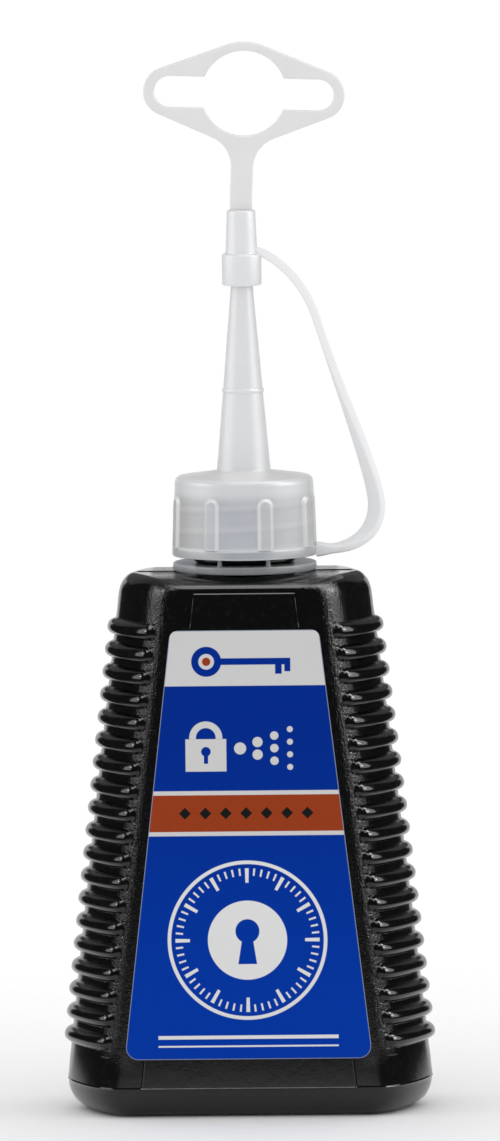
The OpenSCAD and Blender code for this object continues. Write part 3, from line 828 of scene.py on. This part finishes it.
def tag_shape():
    """Hanging tag with a round hole, two slot arms and a stem, tilted a little where the stem bends."""
    eye_r = hang_hole_r + tag_rim
    end_r = slot_h / 2 + tag_rim
    end_x = slot_l / 2 + slot_end_rim - end_r
    lean = math.degrees(math.acos((eye_r - end_r) / end_x))
    low_z = hang_z - tag_low_rim
    slope = math.acos((eye_r - end_r) / math.hypot(end_x, tag_low_rim)) - math.atan2(tag_low_rim, end_x)
    low_lean = math.degrees(slope)
    stem_x = stem_w / 2
    fillet_x = stem_x + stem_fillet_r
    fillet_z = low_z - (eye_r + stem_fillet_r - fillet_x * math.cos(slope)) / math.sin(slope)
    foot_z = tip_cap_top - stem_depth
    right = [(stem_x, foot_z), (stem_x, tip_cap_top + stem_plain_h)]
    right += arc((fillet_x, fillet_z), stem_fillet_r, 180, 180 - low_lean, 12)
    right += arc((end_x, hang_z), end_r, -low_lean, lean, 20)
    right += arc((0, hang_z), eye_r, lean, 90, 5)
    left = [(-x, z) for x, z in right[::-1][1:]]
    gap_turn = math.degrees(math.asin(slot_h / 2 / hang_hole_r))
    slot_x = (slot_l - slot_h) / 2
    hole = arc((0, hang_z), hang_hole_r, gap_turn, 180 - gap_turn, 24)
    hole += arc((-slot_x, hang_z), slot_h / 2, 90, 270, 14)
    hole += arc((0, hang_z), hang_hole_r, 180 + gap_turn, 360 - gap_turn, 24)
    hole += arc((slot_x, hang_z), slot_h / 2, -90, 90, 14)
    hole = hole[::-1]

    def place(points, depth):
        x, z = points.T
        rise = z - tip_cap_top
        bend = tag_tilt * ease(rise / tag_bend_l)
        tilted_x = x * np.cos(bend) + rise * np.sin(bend)
        tilted_z = tip_cap_top + rise * np.cos(bend) - x * np.sin(bend)
        return np.stack([tilted_x, np.full(len(x), depth), tilted_z], axis=1)

    return plate(right + left, [hole], -tag_t / 2, tag_t / 2, tag_edge, place)


# Finishes

class Tap:
    """One output of a node. Arithmetic with numbers or other outputs adds Math nodes."""

    def __init__(self, nodes, socket):
        self.nodes = nodes
        self.socket = socket

    def math(self, operation, *values):
        return self.nodes.add("ShaderNodeMath", {"operation": operation}, dict(enumerate((self, *values))))

    def __add__(self, other):
        return self.math("ADD", other)

    __radd__ = __add__

    def __sub__(self, other):
        return self.math("SUBTRACT", other)

    def __rsub__(self, other):
        return self.nodes.add("ShaderNodeMath", {"operation": "SUBTRACT"}, {0: other, 1: self})

    def __mul__(self, other):
        return self.math("MULTIPLY", other)

    __rmul__ = __mul__

    def __truediv__(self, other):
        return self.math("DIVIDE", other)

    def __abs__(self):
        return self.math("ABSOLUTE")

    def over(self, low, high):
        """Smooth rise from 0 at low to 1 at high."""
        ends = {"Value": self, "From Min": low, "From Max": high}
        return self.nodes.add("ShaderNodeMapRange", {"interpolation_type": "SMOOTHSTEP"}, ends)


class Nodes:
    """A node tree that is being written."""

    def __init__(self, owner):
        owner.use_nodes = True
        self.owner = owner
        self.tree = owner.node_tree
        self.tree.nodes.clear()

    def add(self, kind, settings=None, sockets=None, output=0):
        """Adds a node, makes its settings, fills its sockets and gives one of its outputs."""
        node = self.tree.nodes.new(kind)
        for key, value in (settings or {}).items():
            setattr(node, key, value)
        for key, value in (sockets or {}).items():
            if isinstance(value, Tap):
                self.tree.links.new(value.socket, node.inputs[key])
            else:
                node.inputs[key].default_value = value
        return Tap(self, node.outputs[output]) if node.outputs else None

    def place_mm(self, stretch=(1, 1, 1)):
        """Place on the piece in millimetres, stretched along its axes."""
        place = self.add("ShaderNodeTexCoord", output="Object")
        return self.add("ShaderNodeVectorMath", {"operation": "MULTIPLY"},
                        {0: place, 1: tuple(share / MM for share in stretch)})

    def axes_mm(self):
        """The three distances from the frame's origin in millimetres."""
        split = self.add("ShaderNodeSeparateXYZ", None, {0: self.place_mm()})
        return split, Tap(self, split.socket.node.outputs[1]), Tap(self, split.socket.node.outputs[2])

    def cloud(self, per_mm, detail=2.0, stretch=(1, 1, 1)):
        """Soft noise from 0 to 1 with about so many spots to a millimetre."""
        place = self.place_mm(stretch)
        return self.add("ShaderNodeTexNoise", None,
                        {"Vector": place, "Scale": per_mm, "Detail": detail, "Roughness": 0.55})

    def mix(self, share, a, b):
        """Colour from a to b."""
        return self.add("ShaderNodeMix", {"data_type": "RGBA"}, {0: share, 6: a, 7: b}, output=2)

    def bump(self, height, depth_mm):
        """Relief of some depth."""
        return self.add("ShaderNodeBump", None, {"Height": height, "Distance": depth_mm * MM})

    def finish(self, shader):
        """Ends the tree with a shader, and gives the finish or the world that it belongs to."""
        end = "World" if isinstance(self.owner, bpy.types.World) else "Material"
        self.add("ShaderNodeOutput" + end, None, {"Surface": shader})
        return self.owner


def grey(level):
    """Grey of some level, without colour."""
    return (level, level, level, 1)


# Where the black plastic is grained: between the ribs, past their ends, up to the front and above the foot
grain_between = (4.5, 6.0)
grain_off_rib = (rib_half - 0.3, rib_half + 0.1)
grain_past_ribs = (6.5, 6.9)
grain_front = (9.5, 12.0)
grain_foot = (8.0, 14.0)

# Plastic of the cap: where painted shade of the dark neck behind it, painted lines of the thread and painted
# highlight lines lie on it, and its colours there
painted_shade_left_fade = (-9, -4)
painted_shade_right_fade = (2.5, 8)
painted_thread_highlight = (0.02, 0.2)
painted_thread_shade = (0.02, 0.16)
grip_highlight_line = (0.08, 0.42)
band_foot = (grip_top_z - 0.9, grip_top_z + 1.3)
roof_foot = (roof_z - 0.5, roof_z + 0.05)
rim_top = (rim_z + rim_h - 0.1, rim_z + rim_h + 0.1)
rim_top_highlight_line = (0.1, 0.4)
rim_low_highlight_line = (0.05, 0.45)
painted_rim_fade = (2.0, 5.5)
nozzle_foot = (nozzle_z - 0.1, nozzle_z + 0.5)
painted_neck_shade_left = grey(0.42)
painted_neck_shade_middle = (0.42, 0.44, 0.48, 1)
painted_neck_shade_right = (0.45, 0.455, 0.465, 1)
band_white = (0.62, 0.635, 0.645, 1)
painted_grip_light = (0.52, 0.53, 0.54, 1)
painted_grip_highlight = (0.72, 0.73, 0.735, 1)
painted_rim_shade_middle = (0.33, 0.365, 0.395, 1)
painted_rim_light_side = (0.46, 0.467, 0.478, 1)
painted_rim_highlight = (0.66, 0.68, 0.70, 1)
nozzle_white = (0.72, 0.725, 0.74, 1)

# Colours of the thin ring, painted darker in its middle and lighter at its sides, of the tip cap, and of the
# strap, painted lighter for its glow
painted_ring_fade = (2.0, 6.0)
painted_ring_shade_middle = (0.31, 0.33, 0.345, 1)
painted_ring_light_side = (0.40, 0.405, 0.415, 1)
tip_white = (0.745, 0.75, 0.765, 1)
painted_strap_glow = (0.83, 0.835, 0.845, 1)


def moulded_black():
    """Glossy black plastic with a little dust, and a drawn grain on the strips beside the front."""
    nodes = Nodes(bpy.data.materials.new("moulded_black"))
    x, y, z = nodes.axes_mm()
    inward = foot_half_w + z * ((top_half_w - foot_half_w) / body_h) - abs(x)
    from_rib = abs(((z - rib_low_z) / rib_pitch + 0.5).math("FRACT") - 0.5) * rib_pitch
    from_rib = from_rib.math("MAXIMUM", z - rib_high_z)
    between = inward.over(*grain_between) * from_rib.over(*grain_off_rib)
    strip = between.math("MAXIMUM", inward.over(*grain_past_ribs))
    strip = strip * (1 - inward.over(*grain_front)) * z.over(*grain_foot)
    grain = nodes.cloud(3.0, 3.0)
    drawn = nodes.cloud(2.2, 2.0, (1, 1, 0.25))
    waves = nodes.cloud(0.35, 2.0)
    dust = nodes.cloud(0.9, 4.0).over(0.5, 0.8)
    relief = (grain * 0.7 + drawn * 0.8) * (0.05 + 0.95 * strip) + waves * (0.08 + 0.17 * strip)
    shader = nodes.add("ShaderNodeBsdfPrincipled", None, {
        "Base Color": nodes.mix(dust, (0.0038, 0.0038, 0.004, 1), (0.009, 0.009, 0.0095, 1)),
        "Roughness": 0.08 + 0.05 * grain + 0.05 * dust,
        "IOR": 1.5,
        "Normal": nodes.bump(relief, 0.13),
    })
    return nodes.finish(shader)


def waxy(nodes, colour, roughness, deep, ior=1.5):
    """Waxy plastic of some colour, with a share of light that goes deep into it."""
    drawn = nodes.cloud(1.4, 3.0, (1, 1, 0.12))
    cloud = nodes.cloud(0.25, 3.0)
    return nodes.add("ShaderNodeBsdfPrincipled", None, {
        "Base Color": nodes.mix(cloud * 0.12, colour, grey(1.0)),
        "Roughness": roughness + 0.1 * drawn,
        "IOR": ior,
        "Subsurface Weight": deep,
        "Subsurface Radius": (1.0, 1.0, 1.0),
        "Subsurface Scale": 1.0 * MM,
        "Normal": nodes.bump(drawn + cloud * 2, 0.01),
    })


def milky_plastic():
    """Milky plastic of the tip cap."""
    nodes = Nodes(bpy.data.materials.new("milky_plastic"))
    return nodes.finish(waxy(nodes, tip_white, 0.3, 0.15))


def strap_plastic():
    """The same plastic in the strap, thin enough to glow, with the glow painted into a lighter colour."""
    nodes = Nodes(bpy.data.materials.new("strap_plastic"))
    return nodes.finish(waxy(nodes, painted_strap_glow, 0.5, 0.0, 1.2))


def cap_plastic():
    """Plastic of the cap, painted bluish where the dark neck lies behind it, with painted thread lines,
    painted highlights at its edges, a rim painted darker in the middle and lighter at the sides, and whiter
    at its top band and its nozzle.
    """
    nodes = Nodes(bpy.data.materials.new("cap_plastic"))
    x, y, z = nodes.axes_mm()
    turn = y.math("ARCTAN2", x)
    grip_step = 2 * math.pi / grip_count
    phase = ((turn - grip_turn) / grip_step).math("FRACT")
    away = (0.5 - abs(phase - 0.5)) * (grip_step * cap_foot_r)
    past_top = (z - (grip_top_z - grip_half)).math("MAXIMUM", 0.0)
    away = (away * away + past_top * past_top).math("SQRT")
    on_grip = 1 - away.over(grip_half - grip_edge, grip_half)
    on_grip_highlight = 1 - abs(away - grip_half).over(*grip_highlight_line)
    # Painted light and shade: the thread inside drawn as lighter and darker lines, as if seen through the
    # wall
    lap = (z / thread_pitch - turn / (2 * math.pi)).math("FRACT")
    lit = 1 - abs(lap - 0.5).over(*painted_thread_highlight)
    dark = 1 - abs(lap - 0.25).over(*painted_thread_shade)
    thread = lit * 0.7 - dark * 0.3
    # Painted shade: bluish grey where the dark neck lies behind the wall, greyer at the left and lighter at
    # the right
    painted_neck_shade = nodes.mix(x.over(*painted_shade_left_fade), painted_neck_shade_left, painted_neck_shade_middle)
    painted_neck_shade = nodes.mix(x.over(*painted_shade_right_fade), painted_neck_shade, painted_neck_shade_right)
    colour = nodes.mix(thread * 0.16 + 0.05, painted_neck_shade, grey(0.85))
    colour = nodes.mix(z.over(*band_foot), colour, band_white)
    # Painted light: the grips painted lighter, with a painted highlight along their edges
    colour = nodes.mix(on_grip * 0.5, colour, painted_grip_light)
    colour = nodes.mix(on_grip_highlight * 0.75, colour, painted_grip_highlight)
    colour = nodes.mix(z.over(*roof_foot), colour, grey(0.7))
    # Painted shade and light: the rim painted darker in its middle and lighter at its sides, with painted
    # highlight lines along its top and its foot
    rim = nodes.mix(abs(x).over(*painted_rim_fade), painted_rim_shade_middle, painted_rim_light_side)
    colour = nodes.mix(1 - z.over(*rim_top), colour, rim)
    rim_lines = 1 - abs(z - rim_z - rim_h).over(*rim_top_highlight_line) * (z - rim_z).over(*rim_low_highlight_line)
    colour = nodes.mix(rim_lines * 0.6, colour, painted_rim_highlight)
    colour = nodes.mix(z.over(*nozzle_foot), colour, nozzle_white)
    return nodes.finish(waxy(nodes, colour, 0.28, 0.25))


def thin_plastic():
    """The same plastic in the thin ring, which shows much of what lies behind it, painted darker in its
    middle and lighter at its sides.
    """
    nodes = Nodes(bpy.data.materials.new("thin_plastic"))
    clear = nodes.add("ShaderNodeBsdfTransparent", None, {"Color": (0.80, 0.83, 0.86, 1)})
    cloud = nodes.cloud(0.6, 2.0)
    x = nodes.axes_mm()[0]
    # Painted shade and light: the ring painted darker in its middle and lighter at its sides
    colour = nodes.mix(abs(x).over(*painted_ring_fade), painted_ring_shade_middle, painted_ring_light_side)
    body = waxy(nodes, colour, 0.3, 0.0)
    return nodes.finish(nodes.add("ShaderNodeMixShader", None, {0: 0.52 + 0.1 * cloud, 1: clear, 2: body}))


def tag_plastic():
    """Off-white waxy plastic with faint flow marks."""
    nodes = Nodes(bpy.data.materials.new("tag_plastic"))
    flow = nodes.cloud(0.3, 4.0, (1, 1, 0.5))
    grain = nodes.cloud(4.0, 2.0)
    shader = nodes.add("ShaderNodeBsdfPrincipled", None, {
        "Base Color": nodes.mix(flow, grey(0.73), grey(0.79)),
        "Roughness": 0.42 + 0.12 * grain,
        "IOR": 1.5,
        "Normal": nodes.bump(grain + flow * 3, 0.006),
    })
    return nodes.finish(shader)


# Print on the label: a key in the header, a padlock with puffs of powder, a band of diamonds, a lock's dial.
# Bars are given by their middles and their half sizes.
header_z = 72.25
film_edge = 0.12
film_edge_blue = (0.24, 0.28, 0.4, 1)
ink_soft = 0.06
blue_painted_light_fade = (12, 70)
key_at = (-0.6, 76.3)
key_bow = (-5.8, 0)
key_bow_r = 1.9
key_bow_half = 0.6
key_dot_r = 0.7
key_bars = (((2.2, 0), (6.0, 0.55)), ((6.2, -1.2), (0.55, 0.9)), ((7.7, -1.0), (0.5, 0.7)))
padlock_at = (-6.6, 61.0)
padlock_bar = ((0, -0.3), (3.1, 2.4))
padlock_edge = 0.3
padlock_eye = (0, 0.3)
padlock_eye_r = 0.8
padlock_slit = ((0, -0.8), (0.35, 0.9))
shackle_middle = (0, 2.6)
shackle_r = 2.2
shackle_half = 0.55
shackle_foot = 2.4
puff_columns = ((-0.9, 1, 1.0), (2.0, 2, 0.85), (4.8, 3, 0.7), (7.4, 4, 0.5))
puff_up = 0.8
puff_step = 2.1
band_z = 51.0
band_half = 3.05
rule_half = 0.35
diamond_step = 3.4
diamond_half = 1.0
diamond_reach = 3.5 * diamond_step
dial_at = (0.0, 29.8)
dial_r = 13.0
dial_line_half = 0.3
dial_ticks = ((60, 0.16, dial_r - 2.2, dial_r - 1.0), (12, 0.32, dial_r - 3.4, dial_r - 1.0))
dial_plate_r = 6.6
dial_eye = (0, 1.5)
dial_eye_r = 2.0
dial_slit_z = dial_at[1] - 1.6
dial_slit_half = (0.8, 2.4)
dial_slit_flare = 0.16
foot_rules = (((0, 13.6), (15.0, 0.3)), ((0, 12.1), (15.0, 0.14)))


def printed_film():
    """Film printed in light grey, blue and rust, with painted light that makes the blue lighter towards its
    foot.
    """
    nodes = Nodes(bpy.data.materials.new("printed_film"))
    x, y, z = nodes.axes_mm()

    def inked(distance):
        """Share of ink at a distance outside the edge of a shape."""
        return 1 - distance.over(-ink_soft, ink_soft)

    def from_point(at, past=(0, 0)):
        across = x - (at[0] + past[0])
        up = z - (at[1] + past[1])
        return (across * across + up * up).math("SQRT")

    def from_box(at, past, half):
        across = abs(x - (at[0] + past[0])) - half[0]
        return across.math("MAXIMUM", abs(z - (at[1] + past[1])) - half[1])

    def nearest(*distances):
        least = distances[0]
        for distance in distances[1:]:
            least = least.math("MINIMUM", distance)
        return least

    pale = grey(0.61)
    rust = (0.31, 0.046, 0.012, 1)
    # Painted light: the blue is painted lighter towards the label's foot, for light from the floor below
    blue = nodes.mix(z.over(*blue_painted_light_fade), (0.0, 0.039, 0.37, 1), (0.0, 0.025, 0.265, 1))
    colour = nodes.mix(z.over(header_z - ink_soft, header_z + ink_soft), blue, pale)

    from_bow = from_point(key_at, key_bow)
    key = nearest(abs(from_bow - key_bow_r) - key_bow_half, *[from_box(key_at, *bar) for bar in key_bars])
    colour = nodes.mix(inked(key), colour, blue)
    colour = nodes.mix(inked(from_bow - key_dot_r), colour, rust)

    shackle = abs(from_point(padlock_at, shackle_middle) - shackle_r) - shackle_half
    shackle = shackle.math("MAXIMUM", padlock_at[1] + shackle_foot - z)
    padlock = nearest(from_box(padlock_at, *padlock_bar) - padlock_edge, shackle)
    eye = from_point(padlock_at, padlock_eye) - padlock_eye_r
    keyhole = nearest(eye, from_box(padlock_at, *padlock_slit))
    puffs = []
    for across, count, r in puff_columns:
        for i in range(count):
            up = puff_up + (i - (count - 1) / 2) * puff_step
            puffs.append(from_point((across, padlock_at[1]), (0, up)) - r)
    colour = nodes.mix(inked(padlock.math("MAXIMUM", 0 - keyhole)), colour, pale)
    colour = nodes.mix(inked(nearest(*puffs)), colour, pale)

    from_band = abs(z - band_z)
    colour = nodes.mix(inked(from_band - band_half - 2 * rule_half), colour, pale)
    colour = nodes.mix(inked(from_band - band_half), colour, rust)
    diamond = abs((x / diamond_step + 0.5).math("FRACT") - 0.5) * diamond_step + from_band - diamond_half
    diamonds = diamond.math("MAXIMUM", abs(x) - diamond_reach)
    colour = nodes.mix(inked(diamonds), colour, grey(0.012))

    from_dial = from_point(dial_at)
    around = (z - dial_at[1]).math("ARCTAN2", x) / (2 * math.pi)

    def ticks(count, half, inner_r, outer_r):
        """Marks round the dial between two radii."""
        turn_share = 0.5 - abs((around * count).math("FRACT") - 0.5)
        across = turn_share * (2 * math.pi * outer_r / count) - half
        return across.math("MAXIMUM", abs(from_dial - (inner_r + outer_r) / 2) - (outer_r - inner_r) / 2)

    slit_w, slit_h = dial_slit_half
    slit = abs(x) - slit_w - (dial_slit_z + slit_h - z) * dial_slit_flare
    slit = slit.math("MAXIMUM", abs(z - dial_slit_z) - slit_h)
    hole = nearest(from_point(dial_at, dial_eye) - dial_eye_r, slit)
    dial_plate = (from_dial - dial_plate_r).math("MAXIMUM", 0 - hole)
    marks = [ticks(*row) for row in dial_ticks]
    rules = [from_box(at, (0, 0), half) for at, half in foot_rules]
    dial = nearest(abs(from_dial - dial_r) - dial_line_half, *marks, dial_plate, *rules)
    colour = nodes.mix(inked(dial), colour, grey(0.74))

    low_x, high_x = label_halves()
    half_x = low_x + (z - label_low_z) * ((high_x - low_x) / (label_high_z - label_low_z))
    low_in = label_rounds()[1]
    past_x = (abs(x) - (low_x - low_in)).math("MAXIMUM", 0)
    past_z = (label_low_z + label_low_corner_r - z).math("MAXIMUM", 0)
    from_round = label_low_corner_r - (past_x * past_x + past_z * past_z).math("SQRT")
    from_edge = nearest(half_x - abs(x), label_high_z - z, from_round)
    colour = nodes.mix(inked(from_edge - film_edge), colour, film_edge_blue)

    fibre = nodes.cloud(6.0, 2.0)
    shader = nodes.add("ShaderNodeBsdfPrincipled", None, {
        "Base Color": nodes.mix(fibre * 0.1, colour, grey(0.0)),
        "Roughness": 0.22 + 0.06 * fibre,
        "Specular IOR Level": 0.04,
        "Normal": nodes.bump(fibre, 0.003),
    })
    return nodes.finish(shader)


def graphite_powder():
    """Dry dark grey powder with a slight shine."""
    nodes = Nodes(bpy.data.materials.new("graphite_powder"))
    grain = nodes.cloud(8.0, 3.0)
    shader = nodes.add("ShaderNodeBsdfPrincipled", None, {
        "Base Color": nodes.mix(grain, grey(0.035), grey(0.085)),
        "Roughness": 0.55 + 0.2 * grain,
        "Metallic": 0.3 * grain,
        "Normal": nodes.bump(grain, 0.08),
    })
    return nodes.finish(shader)


black = moulded_black()
milky = milky_plastic()
strap_with_painted_glow = strap_plastic()
cloudy = cap_plastic()
thin = thin_plastic()
white = tag_plastic()
film = printed_film()
powder = graphite_powder()

# Pieces on their bodies

bottle = make("bottle_shell", *bottle_shape(), black, "black_plastic")
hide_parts("bottle")
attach(bottle, "bottle")

label = make("printed_label", *label_shape(), film, "label_film", crease=60)
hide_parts("front_label")
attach(label, "bottle")

heap = make("powder_heap", *powder_shape(), powder, "graphite_powder")
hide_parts("graphite_fill")
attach(heap, "bottle")

ring = make("ring_and_bridges", *ring_shape(), thin, "milky_plastic")
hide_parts("tamper_ring")
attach(ring, "tamper_ring")

cap = make("cap_and_nozzle", *cap_shape(), cloudy, "milky_plastic")
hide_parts("nozzle_cap")
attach(cap, "cap")

tip_cap = make("tip_cap_with_collar", *tip_cap_shape(), milky, "milky_plastic")
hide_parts("tip_cap")
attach(tip_cap, "tip_cap")

tag = make("hanging_tag", *tag_shape(), white, "white_plastic")
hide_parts("hanger_tag")
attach(tag, "tip_cap")

strap = make("strap", *strap_shape(), strap_with_painted_glow, "milky_plastic")
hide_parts("cap_strap")
line = strap_line()
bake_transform(strap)

# Room: a pale floor that fades out, a white world, and a dark surround that only reflections see

photo_h_px = 1141
photo_px_per_mm = 5.985
view_turn = math.radians(0.8)
view_rise = math.radians(5.3)
view_roll = math.radians(0.62)
view_distance = 3000.0
view_middle = (0.85, 90.1)

floor_r = 220.0
floor_fade_r = 60.0
floor_fade_share = 0.98
floor_radii = (8.0, 40.0, floor_fade_r, 120.0, floor_r)
floor_drop = 0.02
surround_r = 1400.0
surround_gap_turn = math.radians(32)
surround_gap_rise = math.radians(15)
surround_rises = (*range(-90, 0, 10), 0, 3, 6, 9, *range(15, 91, 15))

# Lamps: turn from the front, rise, distance, width, height and radiance
lamp_aim = Vector((0, 0, 80))
lamps = {
    "softbox_left": (-79, 22, 450, 400, 400, 2.2),
    "softbox_right": (80, 22, 450, 420, 400, 2.8),
    "softbox_over": (0, 80, 900, 500, 900, 4.2),
    "softbox_back": (180, 38, 900, 1500, 750, 0.17),
    "lamp_left": (-76, 27, 900, 130, 110, 36),
    "lamp_over_right": (84, 60, 900, 280, 420, 14),
    "tube_right_low": (76, 20, 900, 560, 22, 60),
    "tube_right_high": (76, 33, 900, 560, 22, 60),
}


def toward(turn, rise):
    """Direction from the object at a turn from the front and a rise above level."""
    return Vector((math.sin(turn) * math.cos(rise), -math.cos(turn) * math.cos(rise), math.sin(rise)))


def floor_finish():
    """Matt pale floor that fades into the background at its edge."""
    nodes = Nodes(bpy.data.materials.new("pale_floor"))
    place = nodes.add("ShaderNodeTexCoord", output="Object")
    away = nodes.add("ShaderNodeVectorMath", {"operation": "LENGTH"}, {0: place}, output="Value")
    speck = nodes.cloud(0.2, 3.0)
    matt = nodes.add("ShaderNodeBsdfPrincipled", None, {
        "Base Color": nodes.mix(speck, grey(0.95), grey(0.98)),
        "Roughness": 0.85,
        "Specular IOR Level": 0.1,
    })
    clear = nodes.add("ShaderNodeBsdfTransparent")
    edge = away.over(floor_fade_r * MM, floor_r * MM * floor_fade_share)
    return nodes.finish(nodes.add("ShaderNodeMixShader", None, {0: edge, 1: matt, 2: clear}))


def surround_finish():
    """Dark cloth."""
    nodes = Nodes(bpy.data.materials.new("dark_cloth"))
    weave = nodes.cloud(0.05, 2.0)
    shader = nodes.add("ShaderNodeBsdfPrincipled", None, {
        "Base Color": nodes.mix(weave, grey(0.015), grey(0.025)),
        "Roughness": 0.95,
        "Specular IOR Level": 0.0,
    })
    return nodes.finish(shader)


def floor_shape():
    """Round floor under the object."""
    points, faces = skin([round_ring(r, 0.0, 72) for r in floor_radii])
    return points, faces[:-1]


def surround_shape():
    """Ball of cloth round the object, open low at the back."""
    turns = np.radians(np.arange(-180, 181, 6))
    rises = np.radians(surround_rises)
    points = [tuple(surround_r * c for c in toward(turn, rise)) for rise in rises for turn in turns]
    faces = []
    for i in range(len(rises) - 1):
        for j in range(len(turns) - 1):
            middle_turn = (turns[j] + turns[j + 1]) / 2
            middle_rise = (rises[i] + rises[i + 1]) / 2
            behind = math.pi - abs(middle_turn) < surround_gap_turn
            if behind and middle_rise < surround_gap_rise:
                continue
            corner = i * len(turns) + j
            faces.append([corner, corner + 1, corner + len(turns) + 1, corner + len(turns)])
    return points, faces


def stage_piece(name, points, faces, finish):
    """A piece of the room, which is no part of the object."""
    piece = add_piece(name, points, faces, finish)
    return piece


floor = stage_piece("floor", *floor_shape(), floor_finish())
floor.location.z = -floor_drop * MM
surround = stage_piece("surround", *surround_shape(), surround_finish())
surround.visible_camera = False
surround.visible_diffuse = False
surround.visible_transmission = False
surround.visible_shadow = False


def white_world():
    """White background that lights the object evenly."""
    nodes = Nodes(bpy.data.worlds.new("white_world"))
    return nodes.finish(nodes.add("ShaderNodeBackground", None, {"Color": grey(1.0), "Strength": 1.0}))


scene.world = white_world()
scene.world.cycles.sampling_method = "NONE"


def softbox(name, turn, rise, distance, width, height, radiance):
    """Lamp that faces the middle of the object and is seen only in its reflections."""
    lamp = bpy.data.lights.new(name, "AREA")
    lamp.shape = "RECTANGLE"
    lamp.size = width * MM
    lamp.size_y = height * MM
    lamp.energy = radiance * math.pi * lamp.size * lamp.size_y
    box = bpy.data.objects.new(name, lamp)
    way = toward(math.radians(turn), math.radians(rise))
    box.location = (lamp_aim + way * distance) * MM
    box.rotation_euler = way.to_track_quat("Z", "Y").to_euler()
    box.visible_camera = False
    box.visible_diffuse = False
    scene.collection.objects.link(box)


for lamp_name, lamp_sizes in lamps.items():
    softbox(lamp_name, *lamp_sizes)

camera_data = bpy.data.cameras.new("photo_camera")
camera_data.type = "PERSP"
camera_data.sensor_width = 36.0
camera_data.lens = camera_data.sensor_width * view_distance / (photo_h_px / photo_px_per_mm)
camera_data.clip_start = 0.1
camera_data.clip_end = 20.0
camera = bpy.data.objects.new("photo_camera", camera_data)
scene.collection.objects.link(camera)
back = toward(view_turn, view_rise)
level = Vector((0, 0, 1)).cross(back).normalized()
upright = back.cross(level)
across = level * math.cos(view_roll) - upright * math.sin(view_roll)
up = upright * math.cos(view_roll) + level * math.sin(view_roll)
middle = Vector((0, 0, view_middle[1])) + across * view_middle[0]
turned = Matrix((across, up, back)).transposed().to_4x4()
camera.matrix_world = Matrix.Translation((middle + back * view_distance) * MM) @ turned
scene.camera = camera
scene.view_settings.view_transform = "Standard"
